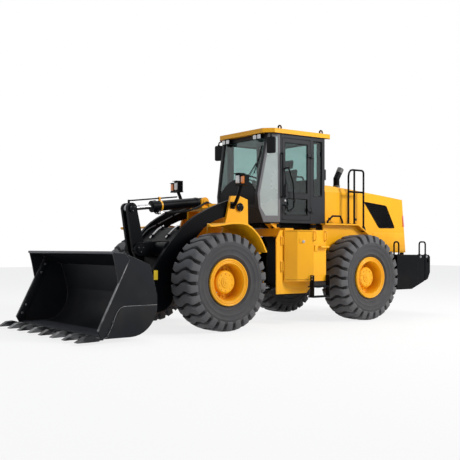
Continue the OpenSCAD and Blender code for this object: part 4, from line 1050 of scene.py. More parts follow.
def wiper():
    """Twin-arm wiper that stands on the mask."""
    pivot_y, pivot_z = 215, 2570
    knee = (452, 2876)
    foot = screen_point(pivot_y, pivot_z, -13)
    out = Vector((0.984, 0, 0.176))
    pieces = [tube("boss", [foot, foot + out * 0.022], 24, sides=20)]
    for shift in (0, 30):
        path = [
            screen_point(pivot_y + shift, pivot_z - shift, 6),
            screen_point(knee[0] + shift * 0.4, knee[1] - shift * 0.5, 4),
        ]
        pieces.append(tube("arm", path, 6, sides=8))
    blade = [screen_point(420 + 125 * t / 8, 2690 + 500 * t / 8, -6) for t in range(9)]
    pieces.append(tube("blade", blade, 7, sides=8))
    lip = [screen_point(424 + 125 * t / 8, 2690 + 500 * t / 8, -14) for t in range(9)]
    pieces.append(tube("lip", lip, 4, sides=6))
    finish_piece(join("wiper", pieces), "rear", PLASTIC)


def seal(name, corners, body, ease=45):
    """Rubber strip round a window opening."""
    loop = tube(name, eased(corners, ease, closed=True), 9, sides=10, closed=True)
    finish_piece(loop, body, SEAL_RUBBER)


def window_seals():
    """Rubber strips round every pane of the cab and its door."""
    front = [(-514, 2126), (514, 2126), (539, NOSE_Z), (594, 3324), (-594, 3324), (-539, NOSE_Z)]
    pane = [(75, 1915), (298, 1915), (380, 2082), (395, 2308), (203, 3325), (75, 3325)]
    strip = [(-1014, 2306), (-796, 2306), (-796, 3324), (-1014, 3324)]
    right = [(-694, 2306), (-76, 2306), (-76, 3324), (-694, 3324)]
    back = [(-594, 2646), (594, 2646), (594, 3324), (-594, 3324)]
    seal("screen_seal", [screen_point(y, z, -14) for y, z in front], "rear")
    for side, hand in SIDES:
        seal("corner_seal_" + hand, [corner_point(side, u, z, -8) for u, z in pane], "rear")
        seal("side_seal_" + hand, [at(x, side * (CAB_HALF - 6), z) for x, z in strip], "rear")
    seal("right_window_seal", [at(x, -CAB_HALF + 6, z) for x, z in right], "rear")
    seal("rear_window_seal", [at(CAB_REAR + 6, y, z) for y, z in back], "rear")
    x0, x1 = -643, -92
    upper = [(x0, 2346), (x1 - 58, 2346), (x1 - 58, 2422), (x1, 2482), (x1, 3244), (x0, 3244)]
    lower = [(x0, 1946), (x1, 1946), (x1, 2178), (x1 - 58, 2244), (x0, 2244)]
    for name, outline in (("door_upper_seal", upper), ("door_lower_seal", lower)):
        seal(name, [at(x, CAB_HALF - 6, z) for x, z in outline], "cab_door", ease=30)


def prism_on_corner(name, outline, side, low, high):
    """A flat plate on the slanted corner face, from (u, z) points, between two distances before it."""
    return capped(name, [[corner_point(side, u, z, out) for u, z in outline] for out in (low, high)])


def corner_panels():
    """Light grey cover plates on the slanted corners, round the corner panes, and a pale sheet over each pane
    as a painted reflection.
    """
    outer = [(22, 1808), (334, 1808), (424, 2056), (450, NOSE_Z), (246, 3392), (22, 3392)]
    inner = [(66, 1905), (303, 1905), (389, 2080), (404, NOSE_Z), (208, 3334), (66, 3334)]
    for side, hand in SIDES:
        loops = [[corner_point(side, u, z, 0.3) for u, z in outline] for outline in (outer, inner)]
        push = corner_point(side, 0, 0, 3) - corner_point(side, 0, 0, 0)
        plate = bent_plate_loop("corner_panel_" + hand, loops, push)
        finish_piece(rounded(plate, 1.2, 1), "rear", CAB_SILVER)
        lower = [(24, 1810), (332, 1810), (422, 2056), (440, 2200), (380, 2060), (296, 1925), (24, 1925)]
        cover = prism_on_corner("corner_cover_" + hand, lower, side, 3.4, 6)
        finish_piece(cover, "rear", CAB_SILVER)
        # Pale sheet before the pane, as a painted reflection
        film = prism_on_corner("corner_painted_reflection_" + hand, inner, side, 0.6, 2)
        finish_piece(film, "rear", PAINTED_REFLECTION_GLASS)


def cab_trim():
    """Door edge strip, drip rails and door lock of the cab."""
    door_gap = [(-708, 1858), (-27, 1858), (-27, 3322), (-708, 3322)]
    loop = eased([at(x, CAB_HALF - 3, z) for x, z in door_gap], 40, closed=True)
    strip = tube("door_edge", loop, 6, 8, True)
    finish_piece(strip, "cab_door", SEAL_RUBBER)
    for side, hand in SIDES:
        run = [at(-1195, side * 772, 3396), at(168, side * 772, 3396), at(322, side * 628, 3396)]
        rail = tube("drip_rail_" + hand, eased(run, 20), 9, 10)
        finish_piece(rail, "rear", BLACK)
    button = [(0, 20), (8, 20), (11, 16), (11, 5)]
    lock = lathe("door_lock", (-91, CAB_HALF, 2200), (-91, CAB_HALF + 50, 2200), button)
    finish_piece(lock, "cab_door", STEEL)


def door_pull():
    """Long bent pull on the front stile of the cab door."""
    foot_x, out = -46, CAB_HALF + 68
    run = [
        (foot_x, CAB_HALF - 2, 2766), (foot_x, out, 2772), (-112, out, 2800), (-228, out, 2500),
        (-246, out, 2220), (-232, out, 2080), (-124, out, 1996), (foot_x, out, 2112),
        (foot_x, CAB_HALF - 2, 2120),
    ]
    pull = tube("door_pull", eased([at(*p) for p in run], 34), 13, 14)
    finish_piece(pull, "cab_door", BLACK)


def lifting_eyes():
    """Steel rings over the roof's lifting eyes."""
    for x, row in ((-60, "front"), (-1090, "rear")):
        for side, hand in SIDES:
            y = side * 650
            ring = [at(x + 35 * math.sin(t), y, 3522 + 35 * math.cos(t)) for t in even_turns(36)]
            loop = tube("ring", ring, 14.5, sides=14, closed=True)
            foot = rounded(block("foot", (x - 52, y - 22, 3480), (x + 52, y + 22, 3489)), 2)
            finish_piece(join("lifting_eye_" + row + "_" + hand, [loop, foot]), "rear", BLACK)


def lens(name, centre, across, half, body, material, depth=5, rise=8):
    """A lamp lens that stands upright and faces along across x up."""
    plate = domed_plate(name, centre, across, (0, 0, 1), half, 0.25 * min(half), depth, rise)
    finish_piece(plate, body, material)


def roof_lamps():
    """Lenses of the lamps below the roof, and air intake boxes on the rear corners of the cab."""
    for x, facing, rows in ((318, 1, (-520, -400, 400, 520)), (-1180, -1, (-560, 560))):
        row = "front" if facing > 0 else "rear"
        for i, y in enumerate(rows):
            name = "roof_lens_" + row + "_" + str(i + 1)
            lens(name, (x, y, 3343), (0, facing, 0), (43, 37), "rear", WHITE_LENS)
    for side, hand in SIDES:
        low, high = (CAB_REAR - 40, 690, 2620), (CAB_REAR + 0.5, 758, 2820)
        box = side_block("intake_box_" + hand, side, low, high, 8, 3)
        finish_piece(box, "rear", PLASTIC)


def headlamps():
    """White lamps, amber indicators, their visors and the arms that carry them."""
    for side, hand in SIDES:
        place = (1125, side * 935, 2506)
        lens("headlamp_lens_" + hand, place, (0, 1, 0), (46, 66), "front", WHITE_LENS, 8, 14)
        place = (1122, side * 1070, 2490)
        lens("indicator_lens_" + hand, place, (0, 1, 0), (40, 62), "front", AMBER_LENS, 10, 14)
        visor = side_block("visor", side, (1018, 858, 2600), (1168, 1010, 2608), 3)
        small_visor = side_block("small_visor", side, (1030, 1012, 2570), (1150, 1128, 2577), 3)
        finish_piece(join("lamp_visors_" + hand, [visor, small_visor]), "front", BLACK)
        run = [(1050, 691, 2080), (1050, 745, 2080), (1056, 840, 2200), (1064, 920, 2340), (1068, 950, 2394)]
        arm = tube("lamp_arm_" + hand, eased(mirrored(run, side), 40), 31, 14)
        finish_piece(arm, "front", BLACK)
        pad = side_block("lamp_pad_" + hand, side, (1000, 690, 2020), (1100, 702, 2140), 4)
        finish_piece(pad, "front", BLACK)


def mirrors():
    """Mirror arms, moulded housings and their glass."""
    turn = math.radians(25)
    ahead = Vector((math.cos(turn), math.sin(turn), 0))
    across = Vector((-math.sin(turn), math.cos(turn), 0))
    x, y, arm_foot = 250, 772, 3300
    path = [(196, 713, 3386.9), (225, 745, 3386.9), (243, 765, 3370), (x, y, 3338), (x, y, arm_foot)]
    clamp = [(8, 14), (8, 22), (30, 22), (30, 14)]
    for side, hand in SIDES:
        arm = tube("mirror_arm_" + hand, smooth_path(mirrored(path, side), 4), 13, sides=14)
        finish_piece(arm, "rear", BLACK)
        back = Vector((x, side * y, 3172)) - ahead * 22
        shell = domed_plate("mirror_housing_" + hand, back, across, (0, 0, 1), (82, 145), 30, 30, 14)
        finish_piece(shell, "rear", PLASTIC)
        pane = domed_plate("mirror_glass_" + hand, back, -across, (0, 0, 1), (72, 134), 24, 1, 3)
        finish_piece(pane, "rear", MIRROR)
        collar = lathe("mirror_clamp_" + hand, (x, side * y, arm_foot), (x, side * y, arm_foot + 100), clamp)
        finish_piece(collar, "rear", PLASTIC)
        if side > 0:
            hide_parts("mirrors")


def seat_pad(name, low, high, lean, corner):
    """A soft block between two corners, ready for its padding, and the turn that leans it back about its
    foot.
    """
    obj = rounded(block(name, low, high), corner, segments=4, angle=30)
    cut = obj.modifiers.new("cut", "REMESH")
    cut.mode = "VOXEL"
    cut.voxel_size = PAD_VOXEL
    apply_modifiers(obj)
    foot = at((low[0] + high[0]) / 2, 0, low[2])
    tilt = Matrix.Translation(foot) @ Matrix.Rotation(-math.radians(lean), 4, "Y") @ Matrix.Translation(-foot)
    return obj, tilt


def puff(obj, held, cap):
    """Blows a pad up with a cloth run; points that held() names stay, and none moves further than cap."""
    rest = [v.co.copy() for v in obj.data.vertices]
    group = obj.vertex_groups.new(name="held")
    group.add([v.index for v in obj.data.vertices if held(v.co)], 1.0, "REPLACE")
    cloth = obj.modifiers.new("padding", "CLOTH")
    cloth.settings.use_pressure = True
    cloth.settings.uniform_pressure_force = PAD_PRESSURE
    cloth.settings.effector_weights.gravity = 0
    cloth.settings.vertex_group_mass = "held"
    cloth.point_cache.frame_start = 1
    cloth.point_cache.frame_end = PAD_FRAMES
    scene = bpy.context.scene
    for step in range(1, PAD_FRAMES + 1):
        scene.frame_set(step)
    apply_modifiers(obj)
    scene.frame_set(1)
    for v, was in zip(obj.data.vertices, rest):
        move = v.co - was
        if move.length > mm(cap):
            v.co = was + move * (mm(cap) / move.length)


def sewn(obj, lines, top_axis, depth):
    """Presses sewn channels into a pad: lines are y places on the face that looks along top_axis."""
    for v in obj.data.vertices:
        if v.normal.dot(top_axis) > 0.35:
            for y in lines:
                v.co -= top_axis * (mm(depth) * math.exp(-(((v.co.y - mm(y)) / SEAM_WIDTH) ** 2)))


def seat():
    """Sprung driver's seat: padded cushion, back, headrest and arm pads on a bellows foot."""
    pads = (
        ("seat_cushion", (-790, -248, 2128), (-308, 248, 2242), 0, 34, (0, 0, 1), (-150, -50, 50, 150)),
        ("seat_back", (-808, -238, 2252), (-712, 238, 2868), 8, 34, (1, 0, 0), (-140, -48, 48, 140)),
        ("seat_headrest", (-862, -130, 2868), (-800, 130, 3036), 8, 26, (1, 0, 0), ()),
    )
    for name, low, high, lean, corner, face, lines in pads:
        pad, tilt = seat_pad(name, low, high, lean, corner)
        if name == "seat_cushion":
            puff(pad, lambda co: co.z < mm(low[2] + 12), 24)
        else:
            puff(pad, lambda co: co.x < at(low[0] + 12, 0, 0).x, 20)
        sewn(pad, lines, Vector(face), 9)
        pad.data.transform(tilt)
        smooth = pad.modifiers.new("smooth", "SUBSURF")
        smooth.levels = 1
        smooth.render_levels = 1
        apply_modifiers(pad)
        shade(pad, 60)
        finish_piece(pad, "rear", CLOTH)
        if name == "seat_cushion":
            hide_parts("seat")
    ribs = [(k * 26, 150 + 16 * (k % 2)) for k in range(11)]
    folds = [(0, 160)] + ribs + [(262, 150)]
    bellows = lathe("seat_bellows", (-560, 0, 1860), (-560, 0, 2160), folds, sides=40)
    finish_piece(bellows, "rear", SEAL_RUBBER)
    pan = rounded(block("seat_pan", (-800, -255, 2116), (-302, 255, 2132)), 5)
    finish_piece(pan, "rear", BLACK)
    for side, hand in SIDES:
        rest = side_block("arm_rest_" + hand, side, (-758, 264, 2384), (-404, 326, 2446), 22, 4)
        finish_piece(rest, "rear", CLOTH)
        bend = [(-760, 255, 2200), (-760, 292, 2240), (-752, 295, 2390)]
        post = tube("arm_post_" + hand, mirrored(bend, side), 16)
        finish_piece(post, "rear", BLACK)
    stalk = tube("headrest_stalks", [at(-836, 0, 2800), at(-842, 0, 2900)], 14)
    finish_piece(stalk, "rear", STEEL)


def cab():
    screen_mask()
    wiper()
    window_seals()
    corner_panels()
    cab_trim()
    door_pull()
    lifting_eyes()
    roof_lamps()
    headlamps()
    mirrors()
    seat()


# Hood


def clipped(outline, point, direction):
    """The stretch of a line inside a convex outline, as two distances along it, or None."""
    low, high = -1e9, 1e9
    edges = list(zip(outline, outline[1:] + outline[:1]))
    area = sum(a[0] * b[1] - b[0] * a[1] for a, b in edges)
    turn = 1 if area > 0 else -1
    for (ax, az), (bx, bz) in edges:
        nx, nz = -turn * (bz - az), turn * (bx - ax)
        start = (point[0] - ax) * nx + (point[1] - az) * nz
        rate = direction[0] * nx + direction[1] * nz
        if abs(rate) < 1e-9:
            if start < 0:
                return None
        elif rate > 0:
            low = max(low, -start / rate)
        else:
            high = min(high, -start / rate)
    return (low, high) if high - low > 8 else None


def grille_wires(outline, pitch):
    """Crossed wires of a mesh inside an outline: (middle, direction, length)."""
    middle = (sum(x for x, _ in outline) / len(outline), sum(z for _, z in outline) / len(outline))
    wires = []
    run, rise = math.cos(WIRE_SLANT), math.sin(WIRE_SLANT)
    for direction in ((run, rise), (run, -rise)):
        side = (-direction[1], direction[0])
        for k in range(-60, 61):
            point = (middle[0] + side[0] * k * pitch, middle[1] + side[1] * k * pitch)
            reach = clipped(outline, point, direction)
            if reach:
                half = (reach[0] + reach[1]) / 2
                place = (point[0] + direction[0] * half, point[1] + direction[1] * half)
                wires.append((place, direction, reach[1] - reach[0]))
    return wires


def side_grilles():
    """Woven mesh, its frame and the dark baffle behind it, on both sides of the hood."""
    for side, hand in SIDES:
        places = []
        for (x, z), (dx, dz), length in grille_wires(SIDE_GRILLE, 17):
            places.append((at(x, side * (HOOD_HALF - 3), z), (dx, 0, dz), mm(length)))
        wire_mesh("side_mesh_" + hand, places, 2.6, "hood", GRILLE_BLACK)
        edge = [at(x, side * (HOOD_HALF + 1), z) for x, z in SIDE_GRILLE]
        frame_bead = tube("grille_bead_" + hand, eased(edge, 40, closed=True), 7, 10, True)
        finish_piece(frame_bead, "hood", GRILLE_BLACK)
        cx = sum(x for x, _ in SIDE_GRILLE) / 4
        cz = sum(z for _, z in SIDE_GRILLE) / 4
        wide = [(cx + 1.06 * (x - cx), cz + 1.08 * (z - cz)) for x, z in SIDE_GRILLE]
        baffle = side_prism("grille_baffle_" + hand, wide, side, HOOD_HALF - 42, HOOD_HALF - 36)
        finish_piece(baffle, "hood", GRILLE_BLACK)


def hood_section(x):
    """Points of the hood's outline across the machine at x, from the left deck over the top to the right."""
    top = 2552 - (-1128 - x) * 220 / 2201
    half = HOOD_HALF
    bend = [(half, 1822), (half, 2402), (half - 30, 2482), (half - 90, 2532), (half - 170, 2552)]
    left = [(y, min(z, top)) for y, z in bend]
    return [at(x, y, z) for y, z in left] + [at(x, -y, z) for y, z in reversed(left)]


def hood_seams():
    """Dark joint line between the hood's panels, creases and catches."""
    finish_piece(tube("hood_seam_1", hood_section(-1528), 3.2, 6), "hood", BLACK)
    crease = [(-2290, HOOD_HALF, 1640), (-3398, HOOD_HALF, 1640)]
    for side, hand in SIDES:
        finish_piece(tube("hood_crease_" + hand, mirrored(crease, side), 2.6, 6), "hood", YELLOW)
        for x in (-1250, -1950):
            name = "hood_catch_" + hand + "_" + str(-x)
            place = (x, side * HOOD_HALF, 1900)
            catch = domed_plate(name, place, (-side, 0, 0), (0, 0, 1), (34, 22), 8, 5, 6)
            finish_piece(catch, "hood", PLASTIC)


def hood_rear_x(z):
    """The x of the hood's leaning rear face at a height."""
    return HOOD_REAR[0] + (z - HOOD_REAR[1]) * REAR_LEAN[0] / REAR_LEAN[1]


def tail_lamps():
    """Lamps on the rear corners of the hood, and the skirts and side markers beside them."""
    up = (0.1034, 0, 0.9946)
    fold = [(-3430, 1272), (-3394, 1655), (-2470, 1655), (-2420, 1600), (-2560, 1272)]
    edge = [(-3386, 1780), (-3362, 2010), (-3330, 2010), (-3348, 1780)]
    for side, hand in SIDES:
        y = side * 600
        for name, z, half, material in (("tail", 1975, 112, RED_LENS), ("turn", 1790, 62, AMBER_LENS)):
            x = hood_rear_x(z)
            shell_name = name + "_lamp_shell_" + hand
            shell = domed_plate(shell_name, (x, y, z), (0, -1, 0), up, (78, half + 6), 20, 24, 3)
            finish_piece(shell, "hood", PLASTIC)
            place = (x - 25.5, y, z + 2.6)
            glass = domed_plate(name + "_lens_" + hand, place, (0, -1, 0), up, (70, half - 2), 16, 6, 12)
            finish_piece(glass, "hood", material)
        skirt = side_prism("hood_skirt_" + hand, fold, side, HOOD_HALF - 1, HOOD_HALF + 8)
        finish_piece(rounded(skirt, 6, 3), "hood", YELLOW)
        marker = side_prism("side_marker_" + hand, edge, side, HOOD_HALF - 1, HOOD_HALF + 8)
        finish_piece(rounded(marker, 4), "hood", RED_LENS)


def exhaust():
    """Open mouth, sooty inside and heat collar of the exhaust pipe."""
    foot = (-2010, 150, 2735)
    tip = (-2110, 150, 2905)
    length = math.dist(foot, tip)
    back, rim = length - 60, length + 42
    wall = [(back, 62.6), (back, 65.5), (rim, 65.5), (rim, 60.5), (length + 2, 60)]
    mouth = lathe("exhaust_mouth", foot, tip, wall)
    finish_piece(mouth, "hood", IRON)
    soot = lathe("exhaust_soot", foot, tip, [(length + 2.5, 59.8), (length + 4, 59.8)])
    finish_piece(soot, "hood", BLACK)
    sleeve = [(0, 62.6), (0, 96), (10, 96), (26, 70), (90, 67), (90, 72), (112, 72), (112, 62.6)]
    collar = lathe("exhaust_collar", (-2010, 150, 2490), (-2010, 150, 2800), sleeve)
    finish_piece(collar, "hood", IRON)


def rear_grille():
    """Mesh behind the rear louvres, and the dark screen of the radiator."""
    outline = [(-480, 1424), (480, 1424), (480, 2176), (-480, 2176)]
    lean = REAR_LEAN[0] / REAR_LEAN[1]
    places = []
    for (y, z), (dy, dz), length in grille_wires(outline, 30):
        places.append((at(hood_rear_x(z) + 60, y, z), (lean * dz, dy, dz), mm(length)))
    wire_mesh("rear_mesh", places, 2.6, "hood", GRILLE_BLACK)
    core = prism("radiator_screen", [(-3350, 1418), (-3334, 1418), (-3254, 2182), (-3270, 2182)], -486, 486)
    finish_piece(core, "hood", GRILLE_BLACK)


def hood():
    side_grilles()
    rear_grille()
    hood_seams()
    tail_lamps()
    exhaust()


# Rear body


def box_face(u, z, out):
    """A point on the left box's middle slanted face: u along it from its front edge, out before it."""
    (x0, y0), (x1, y1) = (-34, 1150), (-311, 1250)
    length = math.hypot(x1 - x0, y1 - y0)
    along = ((x1 - x0) / length, (y1 - y0) / length)
    return (x0 + u * along[0] + out * along[1], y0 + u * along[1] - out * along[0], z)


def grab_handle(name, x, z, side):
    """Bent rod grip that stands upright on a side box."""
    top = z + 168
    run = [(x, 1248, z), (x, 1296, z + 16), (x, 1296, top - 16), (x, 1248, top)]
    pieces = [tube(name, eased(mirrored(run, side), 34), 10, sides=12)]
    for h in (z, top):
        pieces.append(lathe("pad", (x, side * 1249, h), (x, side * 1300, h), [(0, 24), (6, 24), (8, 20)], 20))
    finish_piece(join(name, pieces), "rear", YELLOW)


def box_fittings():
    """Lock, hinges, grips and footholds of the side boxes."""
    across = Vector(box_face(1, 0, 0)) - Vector(box_face(0, 0, 0))
    plate = domed_plate("lock_plate", box_face(92, 1470, 0), across, (0, 0, 1), (52, 40), 8, 4, 1)
    finish_piece(plate, "box_door", YELLOW)
    barrel = [(0, 26), (8, 26), (12, 22), (13, 15), (9, 13), (9, 4), (12, 3)]
    lock = lathe("box_lock", box_face(112, 1461, 4), box_face(112, 1461, 60), barrel)
    finish_piece(lock, "box_door", STEEL)
    for i, (low, high) in enumerate(((928, 1120), (1396, 1560))):
        leaf = rounded(block("leaf", (150, 970, low), (205, 984, high)), 4)
        knuckle = lathe("knuckle", (163, 986, low + 12), (163, 986, high), [(0, 15), (high - low - 24, 15)])
        finish_piece(join("box_hinge_" + str(i + 1), [leaf, knuckle]), "rear", YELLOW)
        heads = [(at(188, 984, low + s), (0, 1, 0)) for s in (28, high - low - 28)]
        bolts("box_hinge_screws_" + str(i + 1), heads, 8, 7, "rear", YELLOW)
    outline = [(139, 970), (139, 1004), (-32, 1154), (-310, 1254), (-633, 1254), (-633, 970)]
    for side, hand in SIDES:
        grab_handle("box_grip_front_" + hand, -345, 1478, side)
        grab_handle("box_grip_rear_" + hand, -606, 1478, side)
        bracket = side_block("bracket", side, (-430, BOX_SIDE, 1290), (-345, BOX_SIDE + 18, 1400), 4)
        tread = side_block("tread", side, (-640, BOX_SIDE, 1352), (-436, BOX_SIDE + 80, 1384), 6)
        finish_piece(join("box_foothold_" + hand, [bracket, tread]), "rear", YELLOW)
        lip = capped("box_lip_" + hand, [[at(x, side * y, z) for x, y in outline] for z in (762, 770)])
        finish_piece(rounded(lip, 3), "rear", YELLOW)


def step_trim():
    """Bolts and grip ribs of the hanging steps."""
    for side, hand in SIDES:
        heads = []
        for z in (800, 848):
            heads += [(at(-640, side * 1300, z), (-1, 0, 0)), (at(-244, side * 1300, z), (1, 0, 0))]
        bolts("step_bolts_" + hand, heads, 11, 10, "rear", STEEL)
        for i, z in enumerate((497, 677)):
            ribs = [(at(-442, side * (1198 + 11.5 * k), z + 3), (1, 0, 0), mm(350)) for k in range(12)]
            wire_mesh("step_ribs_" + hand + "_" + str(i + 1), ribs, 3.5, "rear", BLACK)


def cab_mounts():
    """Underpan, brackets and rubber blocks below the cab."""
    pan = rounded(block("cab_underpan", (-1030, -500, 1718), (268, 500, 1799.7)), 12, 3)
    finish_piece(pan, "rear", BLACK)
    web = [(46, 1699), (79, 1699), (180, 1773), (46, 1773)]
    profile = [(0, 54), (0, 70), (10, 78), (52, 78), (62, 70), (62, 54)]
    for side, hand in SIDES:
        pieces = [side_block("top", side, (42, 525, 1772), (190, 700, 1784), 3)]
        pieces += [side_prism("web", web, side, y, y + 14) for y in (535, 672)]
        finish_piece(join("cab_bracket_" + hand, pieces), "rear", YELLOW)
        for i, x in enumerate((-20, -930)):
            name = "cab_rubber_" + hand + "_" + str(i + 1)
            ring = lathe(name, (x, side * 600, 1720), (x, side * 600, 1799), profile)
            finish_piece(ring, "rear", SEAL_RUBBER)


def weight_hoops():
    """Lifting hoops with their collars and bolts on the counterweight and its wings."""
    collar = [(0, 32), (11, 32), (14, 29), (15, 17)]
    for side, hand in SIDES:
        for place, x0, x1, y in (("rear", -3600, -3410, 1096), ("front", -2885, -2745, 1010)):
            legs = [(x0, y, 1206), (x0, y, 1470), (x1, y, 1470), (x1, y, 1206)]
            pieces = [tube("hoop", eased(mirrored(legs, side), 62, 7), 16, 14)]
            pieces += [lathe("collar", (x, side * y, 1209.5), (x, side * y, 1300), collar) for x in (x0, x1)]
            finish_piece(join("weight_hoop_" + place + "_" + hand, pieces), "rear", BLACK)
        heads = [(at(x, side * 1130, 1172), (0, side, 0)) for x in (-3600, -3410)]
        bolts("hoop_bolts_" + hand, heads, 17, 12, "rear", STEEL)


def rail_feet():
    """Feet of the rear handrails and grip ribs on the deck."""
    feet = [(-2039, 1660, [(0, 46), (44, 46), (52, 42), (96, 30), (108, 20)])]
    feet += [(x, 1804.5, [(0, 42), (9, 42), (12, 38), (13, 20)]) for x in (-1623, -1782)]
    for side, hand in SIDES:
        y = side * RAIL_Y
        pieces = [lathe("foot", (x, y, z), (x, y, z + 100), profile) for x, z, profile in feet]
        finish_piece(join("rail_feet_" + hand, pieces), "rear", BLACK)
        ribs = []
        for x in range(-1000, -1624, -24):
            if min(abs(x + 1040), abs(x + 1427)) > 40:
                ribs.append((at(x, side * 830, 1806), (0, 1, 0), mm(110)))
        wire_mesh("deck_grip_" + hand, ribs, 2.6, "rear", YELLOW)


def engine_bay():
    """Rocker cover, air filter, intake duct and coolant pipe that show when the hood is raised."""
    x, top = -1900, 1850
    cover = rounded(block("rocker_cover", (x - 330, -130, top), (x + 330, 110, top + 80)), 24, 3)
    finish_piece(cover, "rear", BLACK)
    heads = [(at(x + 125 * k, y, top + 80), (0, 0, 1)) for k in range(-2, 3) for y in (-98, 78)]
    bolts("cover_bolts", heads, 10, 9, "rear", STEEL)
    cap = [(0, 34), (8, 34), (10, 46), (34, 46), (38, 40)]
    filler = lathe("oil_cap", (x - 180, -10, top + 79), (x - 180, -10, top + 200), cap, 12)
    finish_piece(filler, "rear", YELLOW)
    folds = [(0, 60), (8, 92)] + [(16 + 12 * k, 96 - 5 * (k % 2)) for k in range(32)] + [(402, 92), (410, 60)]
    can = lathe("air_filter", (x - 240, -215, top + 110), (x + 240, -215, top + 110), folds, 36)
    finish_piece(can, "rear", PLASTIC)
    for i, middle in enumerate((x - 150, x + 90)):
        name = "filter_saddle_" + str(i + 1)
        saddle = rounded(block(name, (middle - 16, -262, top), (middle + 16, -160, top + 34)), 5)
        finish_piece(saddle, "rear", BLACK)
    duct = [(150, -215, 110), (230, -215, 112), (300, -150, 105), (290, -60, 60)]
    pipe = tube("intake_duct", smooth_path([at(x + a, y, top + h) for a, y, h in duct], 8), 42, 18)
    finish_piece(pipe, "rear", SEAL_RUBBER)
    coolant = [(-700, 0), (-700, 90), (-200, 110), (200, 90), (200, 0)]
    line = tube("coolant_pipe", eased([at(x + a, 190, top + h) for a, h in coolant], 80, 6), 26, 16)
    finish_piece(line, "rear", IRON)


def rear_body():
    box_fittings()
    step_trim()
    cab_mounts()
    weight_hoops()
    rail_feet()
    engine_bay()


# Loader arms, cylinders and bucket


def cylinder_line(base, tip):
    """Gives points of a cylinder: along it from its base pin, up from its axis, y to the left."""
    dx = tip[0] - base[0]
    dz = tip[1] - base[1]
    length = math.hypot(dx, dz)
    ux, uz = dx / length, dz / length

    def point(along, up=0, y=0):
        return (base[0] + along * ux - up * uz, y, base[1] + along * uz + up * ux)

    return point


tilt_line = cylinder_line(TILT_BASE, CRANK_TOP)
lift_line = cylinder_line(LIFT_BASE, LIFT_EYE)


def tilt_side(places):
    """Side-view points on the tilt cylinder from (along, up) pairs."""
    return [tilt_line(along, up)[::2] for along, up in places]


def band_profile(width, inner, outer):
    """Profile of a plain ring."""
    return [(0, inner), (0, outer), (width, outer), (width, inner)]


def fitting(name, start, end, body):
    """Crimped steel end and hexagon nut of a hose."""
    crimp = [(0, 16), (0, 19), (8, 21), (46, 21), (50, 18), (84, 17), (84, 12)]
    sleeve = lathe("sleeve", start, end, crimp, 20)
    nut = lathe("nut", start, end, [(50, 18), (50, 26), (74, 26), (74, 18)], 6)
    finish_piece(join(name, [sleeve, nut]), body, STEEL)


def cylinder_bands(name, line, length, r, y, body):
    """Gland ring, bands and pipe clamps round a cylinder barrel."""
    pieces = []
    for along, wide, proud in ((length - 78, 10, 15), (length - 3, 5, 8), (130, 26, 5)):
        ring = band_profile(wide, r - 2, r + proud)
        pieces.append(lathe("band", line(along, 0, y), line(along + 100, 0, y), ring, 40))
    finish_piece(join(name, pieces), body, BLACK)


def tilt_cylinder():
    """Bands, level rod, wiper seal and hoses of the tilt cylinder."""
    cylinder_bands("tilt_bands", tilt_line, 1060, 88, 0, "tilt_barrel")
    strap = lathe("strap", tilt_line(868), tilt_line(1000), band_profile(30, 86, 93), 40)
    post = prism("post", tilt_side([(862, 90), (904, 90), (890, 150), (876, 150)]), -7, 7)
    finish_piece(join("level_strap", [strap, post]), "tilt_barrel", YELLOW)
    eye = lathe("level_eye", tilt_line(868, 128), tilt_line(900, 128), band_profile(30, 15, 27), 20)
    finish_piece(eye, "tilt_barrel", YELLOW)
    rod = tube("level_rod", [at(*tilt_line(a, 128)) for a in (520, 1485)], 13, 12)
    finish_piece(rod, "tilt_rod", BLACK)
    foot = prism("level_foot", tilt_side([(1462, 60), (1512, 60), (1502, 145), (1472, 145)]), -9, 9)
    finish_piece(rounded(foot, 4), "tilt_rod", BLACK)
    lip = [(0, 43), (0, 62), (8, 60), (12, 50), (12, 43)]
    gland = lathe("tilt_wiper_seal", tilt_line(1060), tilt_line(1100), lip, 36)
    finish_piece(gland, "tilt_barrel", SEAL_RUBBER)
    for side, hand in SIDES:
        tilt_feed(side, hand)


def tilt_feed(side, hand):
    """Port, fitting and hose on one side of the tilt cylinder."""
    top = tilt_line(960, -60, side * 40)
    port = lathe("tilt_port_" + hand, top, tilt_line(960, -120, side * 40), [(0, 24), (50, 24), (54, 20)], 20)
    finish_piece(port, "tilt_barrel", BLACK)
    crimp_end = tilt_line(960, -122, side * 42)
    fitting("tilt_fitting_" + hand, tilt_line(840, -122, side * 42), crimp_end, "tilt_barrel")
    bend = [at(*tilt_line(a, u, side * 41)) for a, u in ((918, -122), (950, -122), (960, -114))]
    finish_piece(tube("tilt_elbow_" + hand, bend, 15, 12), "tilt_barrel", STEEL)
    on_barrel = [(846, -122, 42), (740, -124, 46), (600, -132, 62)]
    on_barrel += [(420, -128, 96), (240, -96, 128), (100, -50, 136)]
    on_tower = [(1200, 138, 2150), (1140, 136, 2135), (1060, 132, 2110)]
    on_tower += [(960, 128, 2090), (860, 120, 2080), (745, 110, 2050)]
    route = [tilt_line(along, up, side * y) for along, up, y in on_barrel]
    route += [(x, side * y, z) for x, y, z in on_tower]
    hose = tube("tilt_hose_" + hand, smooth_path([at(*p) for p in route], 5), 19, 14)
    hose.data.materials.append(SEAL_RUBBER)
    end = tuple(at(*tilt_line(110, -52, side * 136)))
    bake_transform(hose)


def lift_cylinders():
    """Bands, feed pipes and seals of the lift cylinders."""
    pipe = [(170, 78), (180, 108), (260, 112), (900, 112), (960, 108), (980, 78)]
    lip = [(0, 46), (0, 66), (8, 62), (10, 46)]
    for side, hand in SIDES:
        body = "lift_barrel_" + hand
        y = side * 430
        cylinder_bands("lift_bands_" + hand, lift_line, 1120, 80, y, body)
        run = tube("lift_pipe_" + hand, eased([at(*lift_line(a, u, y)) for a, u in pipe], 30), 12, 12)
        finish_piece(run, body, IRON)
        gland = lathe("lift_seal_" + hand, lift_line(1120, 0, y), lift_line(1160, 0, y), lip, 36)
        finish_piece(gland, body, SEAL_RUBBER)


